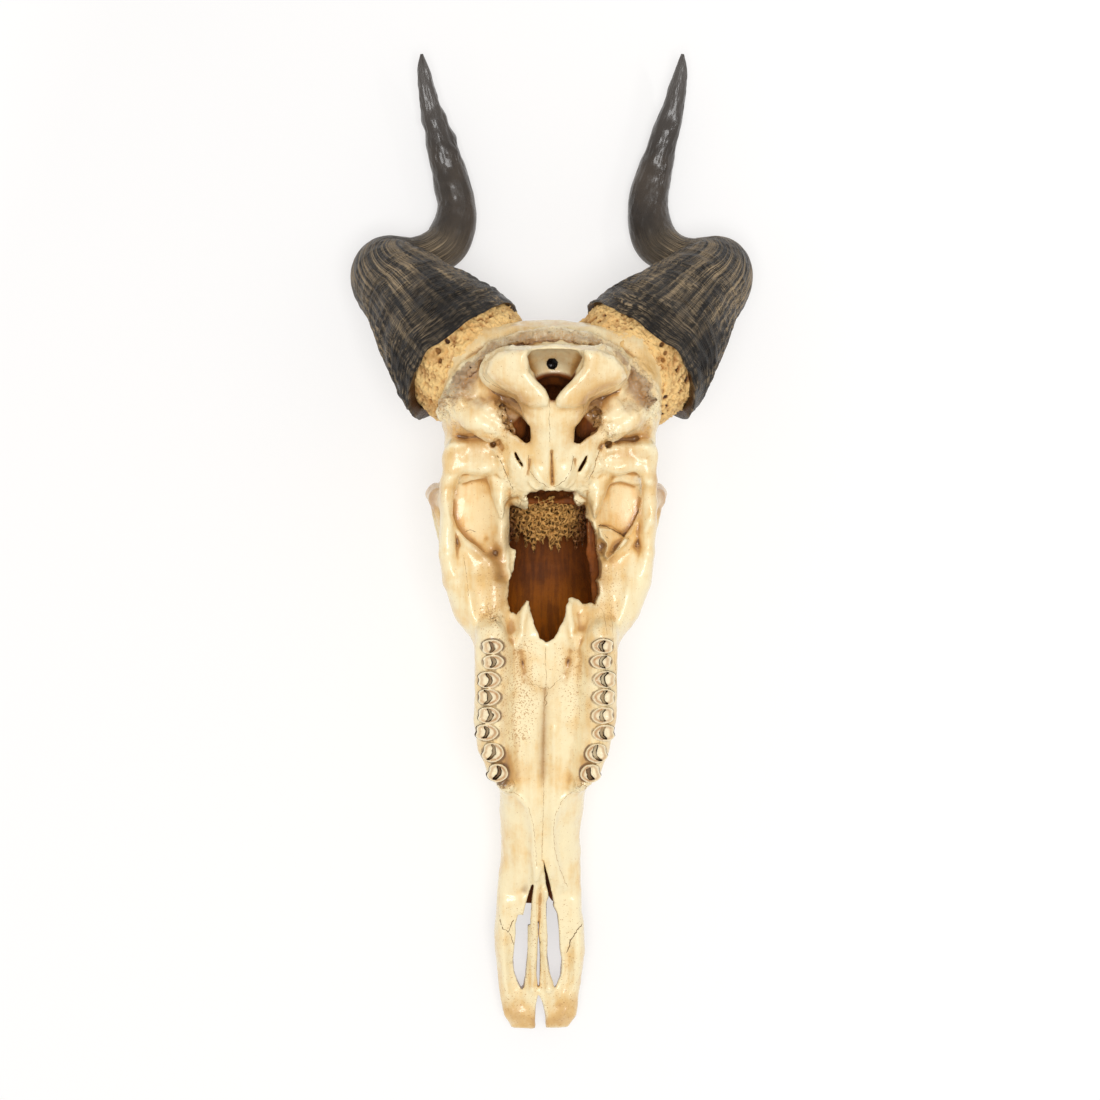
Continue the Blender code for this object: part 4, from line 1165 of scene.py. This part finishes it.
bone = Finish("bone")
cloud = bone.noise(24.0, 5.0, 0.6)
patchy = bone.noise(85.0, 4.0, 0.6)
grain = bone.noise(330.0, 5.0, 0.65)
streak = bone.noise(300.0, 3.0, 0.6, stretch=(1, 0.09, 0.3))
speckle = bone.noise(1000.0, 2.0, 0.5)
crease = bone.attribute("crease")
fine = bone.attribute("fine")
warmth = bone.attribute("warm")
inside = bone.attribute("inner").step(3.0, 0.8).most(bone.attribute("throat").step(0.15, 0.6))
# Browner, darker bone in creases and hollows and paler bone on ridges, from how much bone lies round each point:
# partly the brown patina in the crevices, partly painted shade.
honey = (crease.step(0.52, 0.68) * 0.8 + warmth * 0.8 - 0.12 + (cloud - 0.5) * 2.6 + (patchy - 0.5) * 1.9
         + (streak - 0.5) * 1.5 - fine.step(0.47, 0.32) * 0.6).step(-0.5, 0.95)
colour = bone.mix(honey, BONE_PALE, BONE_HONEY)
tan = (crease.step(0.54, 0.74) * (0.2 + patchy * 1.2) + fine.step(0.54, 0.70) * (0.25 + grain * 0.9)
       + warmth * (0.1 + patchy * 1.2)).step(0.12, 1.15)
colour = bone.mix(tan * 0.9, colour, BONE_TAN)
stained = (bone.attribute("stain") * (0.25 + patchy * 1.1 + grain * 0.5)).step(0.30, 0.95)
colour = bone.mix(stained * 0.85, colour, BONE_GREY)
specks = (speckle + bone.attribute("freckle") * 0.13 + bone.attribute("rough") * 0.12
          + crease.step(0.5, 0.7) * 0.05 + warmth * 0.03).step(0.685, 0.75)
colour = bone.mix(specks * 0.75, colour, BONE_TAN)
# Dark brown: painted shade with dirt in the deepest creases, dirt on the rough ground and in the warmest stains, and
# a dark ring round the teeth.
dirt_and_shade = (fine.step(0.58, 0.74) * grain.step(0.32, 0.55) + crease.step(0.65, 0.82) * 0.85
        + bone.attribute("rough") * (grain - 0.42) * 3.5 + (warmth - 0.9) * 0.7
        + bone.attribute("socket") * (0.8 + patchy * 0.9)).step(0.25, 1.0)
colour = bone.mix(dirt_and_shade * 0.85, colour, BONE_DIRT_AND_SHADE)
grown = (streak * 0.7 + patchy * 0.5).step(0.48, 0.72)
deep = bone.attribute("deep")
# Painted light: the nose's roof takes a brighter orange the deeper it lies, standing in for the light its hollow
# shuts out.
roof_tone_with_painted_light = bone.mix(deep, bone.mix(grown, BONE_INSIDE, BONE_INSIDE_DARK), bone.mix(grown, BONE_INSIDE_PAINTED_LIGHT, BONE_INSIDE_DARK_PAINTED_LIGHT))
colour = bone.mix(inside, colour, roof_tone_with_painted_light)
# Painted shade: the walls of the bored hole are near black.
colour = bone.mix(bone.attribute("bored").step(0.1, 0.6), colour, BORED_PAINTED_SHADE)
bone.set(Base_Color=colour, Roughness=(0.26 + grain * 0.2 + inside * 0.4 + stained * 0.25),
         Coat_Weight=((1 - inside) * (1 - stained * 0.7) * (0.3 + cloud * 0.5)), Coat_Roughness=0.11, IOR=1.5)
relief = grain * 0.5 + speckle * 0.3 + streak * 0.35 + patchy * 0.5 + bone.attribute("rough") * patchy * 2.5
bone.bump(relief, 0.55, 0.0009)
mesh.materials.clear()
mesh.materials.append(bone.material)
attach(cranium, "root")
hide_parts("cranium")

# Spongy bone: a nest of paper-thin scrolls that fills the back of the nose, broken open above the throat.
# It hangs from the roof of the nose below the skull base, and its torn edge points forwards.
SPONGE_STEP = 0.62
SPONGE_TRIANGLES = 150000
SCROLL = 5.2
SPONGE_PALE = (0.66, 0.36, 0.10)
SPONGE_DARK = (0.19, 0.060, 0.008)

sponge = Clay((-25, -16, 46), (27, 40, 101), SPONGE_STEP)
x, y, z = sponge.window(sponge.low, sponge.low + 200)[1:]
roof = 93 - 0.040 * x**2 - 0.5 * np.abs(y - 22)
tear = 3 + 6 * np.sin(x * 0.42 + 1.0) * np.cos(x * 0.9) - 0.16 * (z - 80)
lump = np.maximum(np.maximum(z - roof, tear - y), np.maximum(np.abs(x - 0.5) - 22.5, np.maximum(y - 30, 58 - z)))
lump = lump + 1.6 * np.sin(x * 0.75 + 1.3 * np.sin(y * 0.4)) * np.sin(y * 0.8) * np.cos(z * 0.5)
p = x + 1.2 * np.sin(y * 0.55 + z * 0.3)
q = y + 1.2 * np.sin(x * 0.60 + z * 0.4)
r = z + 1.2 * np.sin(x * 0.45 + y * 0.5)
k = 2 * math.pi / SCROLL
scroll = (np.sin(p * k) * np.cos(q * k * 0.7) + np.sin(q * k * 0.7) * np.cos(r * k * 0.6)
          + np.sin(r * k * 0.6) * np.cos(p * k))
sponge.field = np.maximum(lump, (np.abs(scroll) - 0.42) * 1.1).astype(np.float32)
for axis in range(3):
    for end in (0, -1):
        edge = [slice(None)] * 3
        edge[axis] = end
        sponge.field[tuple(edge)] = FAR
sponge_points, sponge_quads = sponge.skin()
ethmoid = surface("spongy_nose_bone", sponge_points, sponge_quads.tolist())
thinned(ethmoid, min(SPONGE_TRIANGLES, 2 * len(sponge_quads)))
rows = point_rows(ethmoid.data).astype(float) / MM + (0, CENTRE_Y, REST_FLAT)
keep_numbers(ethmoid.data, deep=(90 - rows[:, 2]) / 22)
torn = Finish("spongy_bone")
fray = torn.noise(340.0, 4.0)
# Painted shade: the spongy bone grows darker the deeper it hangs into the nose, with ragged noise.
shade = (torn.attribute("deep") + (fray - 0.5) * 0.9).step(0.15, 0.95)
tone = torn.mix(shade, SPONGE_PALE, SPONGE_DARK)
torn.set(Base_Color=tone, Roughness=0.6)
torn.bump(fray, 0.4, 0.0005)
ethmoid.data.materials.append(torn.material)
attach(ethmoid, "root")


# Collars: where a horn's bony core leaves the skull, the bone is a rough, porous ring, riddled with the holes
# of small blood vessels. The horn sheath has slipped away from it, so that the ring shows.
# It is made as a rough sleeve round the core's line, from inside the skull to inside the sheath.
HORN_ROWS = (
    (28, 88, 82.5, 42.5, 42.5),
    (47.7, 108.5, 77, 41.7, 42),
    (56.2, 118, 74, 40, 41),
    (68.4, 131, 66.5, 35, 36.5),
    (81.4, 145.5, 55, 28.6, 30.5),
    (94.2, 159.2, 41, 23.5, 24.5),
    (94, 167.5, 29.5, 16.5, 18),
    (82, 169.5, 22.5, 13.5, 14.5),
    (71, 173.2, 18.5, 13, 13.5),
    (61.8, 180, 15, 13.6, 13.6),
    (57.4, 190.5, 13.4, 13.1, 13.1),
    (56.2, 202.6, 12.8, 12, 12),
    (58.4, 214.3, 13.2, 11.4, 11.4),
    (63.3, 231.7, 15, 9.9, 9.9),
    (68.3, 249, 18, 7.9, 7.9),
    (72.4, 266, 21.5, 5.8, 5.8),
    (75.1, 280.2, 25, 3.9, 3.9),
    (76.1, 289.3, 27, 1.2, 1.2),
)
SHEATH_WALL = 3.0


def horn_line(count=900):
    """Smooth line through the rows (each stretch a cubic that leaves a row along the chord of its neighbours),
    with even steps; the second row is at length 0. Gives lengths and the row values at each."""
    rows = np.array(HORN_ROWS, float)
    padded = np.concatenate((2 * rows[:1] - rows[1:2], rows, 2 * rows[-1:] - rows[-2:-1]))
    t = np.linspace(0, 1, 60, endpoint=False)[:, None]
    parts = []
    for i in range(len(rows) - 1):
        a, b, c, d = padded[i : i + 4]
        square, cube = 2 * a - 5 * b + 4 * c - d, 3 * b - a - 3 * c + d
        parts.append(0.5 * (2 * b + (c - a) * t + square * t**2 + cube * t**3))
    parts.append(rows[-1:])
    line = np.concatenate(parts)
    length = np.concatenate(([0], np.cumsum(np.linalg.norm(np.diff(line[:, :3], axis=0), axis=1))))
    even = np.linspace(0, length[-1], count)
    values = np.stack([np.interp(even, length, line[:, i]) for i in range(5)], axis=1)
    return even - length[60], values


HORN_LENGTHS, HORN_LINE = horn_line()
HORN_END = HORN_LENGTHS[-1]


def cloudy(u, v, cells_u, cells_v, seed):
    """Noise from -1 to 1 over u and v, each from 0 to 1, closed round v: chance values at the corners of a grid
    of cells, mixed with smooth steps."""
    table = np.random.default_rng(seed).uniform(-1, 1, (cells_u + 2, cells_v))
    a, b = np.clip(u, 0, 1) * cells_u, np.mod(v, 1.0) * cells_v
    i, j = np.floor(a).astype(int), np.floor(b).astype(int) % cells_v
    p, q = a - np.floor(a), b - np.floor(b)
    p, q = p * p * (3 - 2 * p), q * q * (3 - 2 * q)
    k = (j + 1) % cells_v
    low = table[i, j] * (1 - q) + table[i, k] * q
    high = table[i + 1, j] * (1 - q) + table[i + 1, k] * q
    return low * (1 - p) + high * p


def round_horn(s, turn, side, grow):
    """Points at lengths s and turns round the horn's line, this far outside (or inside) its rows' ovals.
    Turn 0 faces up; a quarter turn faces out of the skull's side."""
    centre = np.stack([np.interp(s, HORN_LENGTHS, HORN_LINE[:, i]) for i in range(3)], axis=-1)
    wide, deep = (np.interp(s, HORN_LENGTHS, HORN_LINE[:, i]) for i in (3, 4))
    along = np.gradient(HORN_LINE[:, :3], axis=0)
    along /= np.linalg.norm(along, axis=1)[:, None]
    up = np.array((0, 0, 1.0)) - along * along[:, 2:]
    up /= np.linalg.norm(up, axis=1)[:, None]
    over = np.cross(along, up)
    up, over = (np.stack([np.interp(s, HORN_LENGTHS, frame_axis[:, i]) for i in range(3)], axis=-1)
                for frame_axis in (up, over))
    points = (centre + over * ((wide + grow) * np.sin(turn))[..., None]
              + up * ((deep + grow) * np.cos(turn))[..., None])
    points[..., 0] *= side
    points[..., 2] = np.maximum(points[..., 2], REST_FLAT)
    return points


def wrapped(name, rows, side):
    """Mesh of a stack of rings, rows by turns by 3, closed round and capped at both ends."""
    count, around = rows.shape[:2]
    points = np.concatenate((rows.reshape(-1, 3), rows[:1].mean(axis=1), rows[-1:].mean(axis=1)))
    here = (np.arange(count - 1)[:, None] * around + np.arange(around)[None, :]).ravel()
    beside = (np.arange(count - 1)[:, None] * around + (np.arange(around)[None, :] + 1) % around).ravel()
    quads = np.stack((here, beside, beside + around, here + around), axis=1)
    if side < 0:
        quads = quads[:, ::-1]
    one, two = np.arange(around), (np.arange(around) + 1) % around
    start = np.stack((two, one, np.full(around, count * around)), axis=1)
    end = np.stack((one, two, np.full(around, count * around + 1)), axis=1)
    end[:, :2] += (count - 1) * around
    if side < 0:
        start, end = start[:, ::-1], end[:, ::-1]
    return surface(name, points, quads.tolist() + start.tolist() + end.tolist(), False)


def girth_map(mesh, count, around):
    """Flat map of a wrapped mesh: its first number runs once round, its second along, row by row."""
    spots = np.zeros(len(mesh.loops), int)
    mesh.loops.foreach_get("vertex_index", spots)
    u, v = (spots % around) / around, np.minimum(spots // around, count) / count
    starts = np.zeros(len(mesh.polygons), np.int32)
    mesh.polygons.foreach_get("loop_start", starts)
    # A face that crosses the seam has its low numbers carried past 1
    greatest = np.repeat(np.maximum.reduceat(u, starts), np.diff(np.append(starts, len(u))))
    u = np.where((greatest > 0.75) & (u < 0.25), u + 1.0, u)
    layer = mesh.uv_layers.new(name="round_and_along")
    layer.data.foreach_set("uv", np.stack((u, v), axis=1).ravel().astype(np.float32))


COLLAR_ROWS = 150
COLLAR_TURNS = 440
COLLAR_FROM, COLLAR_TO = -24, 40
COLLAR_PALE = (0.94, 0.64, 0.26)
COLLAR_BROWN = (0.40, 0.17, 0.04)
COLLAR_STAIN = (0.60, 0.28, 0.06)
PIT_PAINTED_SHADE = (0.06, 0.022, 0.006)
PITS = 520
porous = Finish("porous_bone")
speck = porous.noise(420.0, 5.0, 0.65)
stain = porous.noise(60.0, 3.0)
# Browner in the pits and where the rough surface sinks, near black in the deepest pits: painted shade in the hollows,
# besides the speckled brown tone.
dirt_and_shade = (porous.attribute("pit") * 0.8 + porous.attribute("rough") * -0.5 + speck * 0.6).step(0.1, 1.2)
tone = porous.mix(dirt_and_shade, COLLAR_PALE, COLLAR_BROWN)
tone = porous.mix(porous.attribute("pit").step(0.8, 1.6), tone, PIT_PAINTED_SHADE)
tone = porous.mix(stain.step(0.45, 0.7) * 0.55, tone, COLLAR_STAIN)
porous.set(Base_Color=tone, Roughness=0.62, Coat_Weight=0.12, Coat_Roughness=0.3)
porous.bump(speck, 0.8, 0.0014)

for name, side in SIDES:
    s = np.linspace(COLLAR_FROM, COLLAR_TO, COLLAR_ROWS)[:, None] + np.zeros(COLLAR_TURNS)
    turn = (np.linspace(0, 2 * math.pi, COLLAR_TURNS, endpoint=False)[None, :] + np.zeros((COLLAR_ROWS, 1))) + math.pi
    u, v = (s - COLLAR_FROM) / (COLLAR_TO - COLLAR_FROM), turn / (2 * math.pi)
    rough = 1.0 * cloudy(u, v, 9, 34, 5 + side) + 0.8 * cloudy(u, v, 26, 110, 15 + side)
    rough += 0.8 * cloudy(u, v, 52, 190, 25 + side) + 0.5 * cloudy(u, v, 100, 380, 35 + side)
    pits = np.random.default_rng(31 + side)
    depth = np.zeros_like(s)
    for centre_s, centre_v, size in zip(pits.uniform(-20, 34, PITS), pits.uniform(0, 1, PITS),
                                        0.5 + 1.2 * pits.random(PITS) ** 4):
        off = (np.mod(v - centre_v + 0.5, 1.0) - 0.5) * 2 * math.pi * 38
        depth = np.maximum(depth, size * 2.0 * np.exp(-(((s - centre_s) ** 2 + off**2) / size**2) ** 2))
    grow = -4.6 + rough - depth - 0.012 * np.maximum(0, -s - 2) ** 2
    collar = wrapped("horn_collar_" + name, round_horn(s, turn, side, grow), side)
    keep_numbers(collar.data, pit=np.append(depth.ravel(), (0, 0)), rough=np.append(rough.ravel(), (0, 0)))
    collar.data.materials.append(porous.material)
    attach(collar, "root")


# Horn sheaths: hollow black horn, thick and ringed with growth ridges at the foot, then smooth and polished from
# the sharp bend to the tip. Fine fibres run along them, worn to tan on top. They slip over the bony cores.
SHEATH_ROWS = 660
SHEATH_TURNS = 136
RINGED = 78.0
RING_APART = 7.5
FINE_RING_APART = 1.9
BEND_AT = 196
HORN_BLACK = (0.009, 0.007, 0.006)
HORN_BROWN_BLACK = (0.024, 0.019, 0.014)
HORN_UPPER_AND_SHEEN = (0.062, 0.045, 0.032)
HORN_TIP = (0.085, 0.074, 0.066)
HORN_WORN = (0.42, 0.31, 0.185)
HORN_LINING = (0.05, 0.018, 0.005)
RIM_TURNS = (-180, -90, -40, 0, 22, 42, 60, 75, 90, 180)
RIM_AT = (-3, 6.5, 6, 7, 7.5, 6.5, 3.5, 0, -3, -3)

black = Finish("black_horn")
spread = black.out(black.node("UVMap", {"uv_map": "round_and_along"}))
fibres = black.noise(1.0, 4.0, 0.75, spread, (330, 8, 1))
broad = black.noise(1.0, 2.0, 0.5, spread, (70, 3, 1))
flakes = black.noise(1.0, 4.0, 0.6, spread, (60, 120, 1))
rings = black.noise(1.0, 3.0, 0.65, spread, (14, 420, 1), 0.3)
clouds = black.noise(32.0, 4.0)
ringed = black.attribute("ringed")
length = black.attribute("length")
lined = black.attribute("lining")
middle = length.step(0.03, 0.2) * length.step(0.56, 0.46)
worn_fibres = (fibres + (broad - 0.5) * 0.5).step(0.49, 0.60) * middle
worn_rings = rings.step(0.49, 0.56) * 0.8 + black.attribute("lines").step(0.35, 0.9) * 0.8
worn_rings = worn_rings * ringed.step(0.05, 0.4) * (broad + flakes - 0.5).step(0.38, 0.62)
worn = (worn_fibres * 0.9 + worn_rings * 0.8) * (clouds.step(0.34, 0.58) * 0.75 + 0.25)
worn = worn + length.step(0.36, 0.44) * length.step(0.60, 0.5) * fibres.step(0.4, 0.7) * 0.45
tone = black.mix(clouds.step(0.35, 0.7), HORN_BLACK, HORN_BROWN_BLACK)
# The upper horn is a lighter brown: partly its own tone, partly painted sheen standing in for its gloss.
tone = black.mix(length.step(0.45, 0.62) * (0.35 + clouds.step(0.4, 0.7) * 0.65), tone, HORN_UPPER_AND_SHEEN)
tone = black.mix(length.step(0.7, 1.0), tone, HORN_TIP)
tone = black.mix(worn.least(1.0) * 0.95, tone, HORN_WORN)
tone = black.mix(lined, tone, HORN_LINING)
black.set(Base_Color=tone, Roughness=(0.24 + worn * 0.35 + flakes * 0.12 - length.step(0.55, 0.7) * 0.05),
          Coat_Weight=(length.step(0.5, 0.7) * 0.35), Coat_Roughness=0.1, IOR=1.42)
relief = fibres * (1 - length.step(0.4, 0.6) * 0.85) * 0.8 + flakes * 0.2 * ringed + rings * ringed * 1.6
black.bump(relief, 0.9, 0.0009)

for name, side in SIDES:
    turn = np.linspace(0, 2 * math.pi, SHEATH_TURNS, endpoint=False) + math.pi
    rim = np.interp(np.mod(np.degrees(turn) + 180, 360) - 180, RIM_TURNS, RIM_AT)
    rim = rim + 0.6 * cloudy(0 * turn, turn / (2 * math.pi), 2, 40, 3)
    share = np.linspace(0, 1, SHEATH_ROWS)[:, None] ** 1.35
    s = rim + (HORN_END - rim) * share
    turns = turn + np.zeros_like(s)
    u, v = np.clip((s + 10) / (HORN_END + 10), 0, 1), turns / (2 * math.pi)
    from_rim = s - rim
    fade = np.clip(1 - from_rim / RINGED, 0, 1)
    wander = cloudy(u, v, 30, 9, 40 + side) * 1.0 + cloudy(u, v, 60, 22, 50 + side) * 0.45
    ridge = (0.5 + 0.5 * np.cos(2 * math.pi * (from_rim / RING_APART + wander * 0.5))) ** 1.6
    shift = wander * 1.2 + cloudy(u, v, 120, 44, 60 + side) * 0.4
    fine = 0.5 + 0.5 * np.cos(2 * math.pi * (from_rim / FINE_RING_APART + shift))
    fine = fine**1.5 * np.clip(0.65 + 0.9 * cloudy(u, v, 80, 26, 65 + side), 0, 1)
    grow = fade**0.6 * (1.2 * ridge - 1.1 + 0.75 * fine)
    grow += 0.5 * cloudy(u, v, 26, 8, 70 + side) + 0.22 * cloudy(u, v, 60, 40, 80 + side)
    grow += 0.16 * np.cos(turns * 34 + 5 * wander) * np.clip(1 - np.abs(from_rim - 75) / 60, 0, 1)
    # Lumps on the bend and a blunt keel along the upper horn
    bend = np.exp(-(((s - BEND_AT) / 20) ** 2))
    grow += 1.1 * bend * cloudy(u, v, 34, 7, 90 + side)
    wide = np.interp(s, HORN_LENGTHS, HORN_LINE[:, 3])
    flat = np.clip((s - 190) / 40, 0, 1) * np.clip((HORN_END - s) / 20, 0, 1)
    grow += wide * 0.07 * np.cos(2 * (turns - 0.9)) * flat
    # The horn is thickest at its foot, on the outer side
    grow += 3.4 * (0.5 + 0.5 * np.sin(turns)) ** 1.5 * np.clip(1 - from_rim / 62, 0, 1)
    grow -= 0.5
    outer = round_horn(s, turns, side, grow)
    lining = []
    for deep in np.linspace(50, 1.2, 34):
        worn = 0.3 * cloudy(0 * turn + deep / 60, turn / 6.2832, 40, 50, 4)
        lining.append(round_horn(rim + deep, turn, side, -SHEATH_WALL - 0.5 + worn))
    rows = np.concatenate((np.array(lining), [(lining[-1] + outer[0]) / 2], outer))
    sheath = wrapped("ringed_sheath_" + name, rows, side)
    hidden = np.zeros((len(lining) + 1, SHEATH_TURNS))
    for key, inner, values in (("lines", 0, fade**0.5 * fine), ("ringed", 0, fade), ("lining", 1, fade * 0),
                               ("length", 0, s / HORN_END)):
        ends = (inner, inner)
        keep_numbers(sheath.data, **{key: np.append(np.concatenate((hidden + inner, values)).ravel(), ends)})
    girth_map(sheath.data, len(rows), SHEATH_TURNS)
    sheath.data.materials.append(black.material)
    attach(sheath, "root")
    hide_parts("horn_sheath_" + name)


# Cheek teeth: five ridged grinders on each side, set close in one row in the jaw. Each molar is two
# half-moon pillars and each premolar one; the worn tops show hard enamel ridges with dark pits between.
TOOTH_ALONG = 84
TOOTH_ACROSS = 64
CROWN_WALL = 9.0
ROOT = 4
ENAMEL_PALE = (0.96, 0.83, 0.57)
DENTINE_BROWN = (0.46, 0.22, 0.07)
PIT_BLACK = (0.05, 0.019, 0.005)


def grinder(length, width, lobes, seed):
    """Height of a tooth over a grid of its own: a along the row, b towards the middle of the mouth. Each lobe is
    a round-backed shape; a ridge follows its edge, and a half-moon pit with raised sides lies inside."""
    a = np.linspace(-length / 2 - 0.35, length / 2 + 0.35, TOOTH_ALONG)[:, None]
    b = np.linspace(-width / 2 - 0.4, width / 2 + 0.4, TOOTH_ACROSS)[None, :]
    rim = np.full((TOOTH_ALONG, TOOTH_ACROSS), 9.0)
    pit, outer = rim.copy(), rim.copy()
    centre = np.zeros_like(rim)
    shake = cloudy((a + 12) / 24 + 0 * b, (b + 8) / 16 + 0 * a, 16, 12, seed + 60)
    for k in range(lobes):
        half = length / lobes / 2
        mid = (k - (lobes - 1) / 2) * 2 * half + 0.25 * math.sin(seed * 1.7 + k)
        p = (a - mid) / half
        q = b / (width / 2)
        # Round towards the mouth's middle, squarer and pinched towards the cheek
        power = np.where(q > 0, 1.75, 3.2)
        edge = (np.abs(p) ** power + np.abs(q) ** power) ** (1 / power)
        edge = edge + 0.12 * np.clip(-q, 0, 1) * np.cos(p * math.pi) ** 2
        rim = melt(rim, (edge - 1 + 0.02 * shake) * min(half, width / 2), 0.5)
        centre = np.where(edge < outer, mid, centre)
        outer = np.minimum(outer, edge)
        # The pit is a bow, closer to the cheek at its two ends
        bow = width * (0.05 + 0.04 * math.cos(seed + 2 * k))
        reach = half * (0.62 + 0.1 * math.sin(seed * 2.3 + k))
        off = b - bow + 0.30 * width * ((a - mid) / half) ** 2 + 0.45 * shake
        moon = np.hypot(off * 0.72, np.maximum(np.abs(a - mid) - reach, 0))
        pit = np.minimum(pit, moon)
    wear = cloudy((a + 12) / 24 + 0 * b, (b + 8) / 16 + 0 * a, 12, 9, seed)
    open_pit = np.clip(1.0 + 0.8 * wear, 0.65, 1.1)
    height = 0.8 * np.exp(-(((-rim - 0.65) / 0.35) ** 2)) + 0.9 * np.exp(-(((pit - 1.2) / 0.38) ** 2))
    height = height - 3.6 * open_pit * np.exp(-((pit / 0.7) ** 2)) + 0.5 * wear + 0.25 * shake
    height = height - CROWN_WALL * np.clip((rim + 0.22) / 0.5, 0, 1)
    # Black in the pit bottoms and on the crown's side wall down to the jaw: partly grime, partly painted shade where
    # the wall stands in its socket and in the deep pits.
    grime = np.maximum(open_pit * np.exp(-((pit / 0.95) ** 4)), np.clip((rim + 0.15) / 0.12, 0, 1))
    dentine = np.exp(-(((-rim - 1.7) / 0.75) ** 2)) * (0.7 + 0.3 * (b > 0))
    # Outside the crown the grid is gathered in close to it, so that no corner stands out of the jaw
    gather = np.where(outer > 1.06, (1.06 + 0.1 * (outer - 1.06)) / outer, 1.0)
    return centre + (a - centre) * gather, b * gather, height, grime, dentine


enamel = Finish("tooth_enamel")
mottle = enamel.noise(300.0, 4.0)
soft = enamel.attribute("dentine") * (0.35 + mottle * 0.9)
tone = enamel.mix(soft, ENAMEL_PALE, DENTINE_BROWN)
black_pit = (enamel.attribute("grime") * 0.9 + mottle * 0.35).step(0.42, 0.78)
tone = enamel.mix(black_pit, tone, PIT_BLACK)
enamel.set(Base_Color=tone, Roughness=(0.32 + black_pit * 0.6), Coat_Weight=(0.3 - black_pit * 0.3),
           Coat_Roughness=0.12, IOR=1.28)
enamel.bump(mottle, 0.25, 0.0005)

for index, (kind, x, y, length, width, angle, lobes) in enumerate(GRINDERS):
    for name, side in SIDES:
        a, b, height, grime, dentine = grinder(length, width, lobes, 7 * index + side + 3)
        a, b = a.ravel(), b.ravel()
        across = -b * side
        angle_now = math.radians(angle) * side
        px = across * math.cos(angle_now) - a * math.sin(angle_now)
        py = across * math.sin(angle_now) + a * math.cos(angle_now)
        # The crown stands square to the tilted palate, and its top is worn along it
        palate = 50 + (y + 205) * math.tan(PALATE_TILT)
        forwards = py * math.cos(PALATE_TILT) - (CROWN - 0.6) * math.sin(PALATE_TILT)
        upwards = py * math.sin(PALATE_TILT) + (CROWN - 0.6) * math.cos(PALATE_TILT) + height.ravel()
        points = np.stack((side * x + px, y + forwards, palate + upwards), axis=1)
        cells = np.arange(TOOTH_ALONG * TOOTH_ACROSS).reshape(TOOTH_ALONG, TOOTH_ACROSS)
        quads = np.stack((cells[:-1, :-1], cells[1:, :-1], cells[1:, 1:], cells[:-1, 1:]), axis=-1).reshape(-1, 4)
        edge = np.concatenate((cells[:-1, 0], cells[-1, :-1], cells[:0:-1, -1], cells[0, :0:-1]))
        if side > 0:
            quads = quads[:, ::-1]
        root = points[edge] - (0, 0, ROOT)
        base = len(points)
        points = np.concatenate((points, root))
        count = len(edge)
        floor = base + np.arange(count)
        around = np.stack((edge, floor, np.roll(floor, -1), np.roll(edge, -1)), axis=1)
        if side > 0:
            around, floor = around[:, ::-1], floor[::-1]
        faces = quads.tolist() + around.tolist() + [floor.tolist()]
        tooth = surface("worn_" + kind + "_" + name, points, faces)
        rest = np.zeros(count)
        keep_numbers(tooth.data, grime=np.append(grime.ravel(), rest), dentine=np.append(dentine.ravel(), rest))
        tooth.data.materials.append(enamel.material)
        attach(tooth, "root")
        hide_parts(kind + "_" + name)
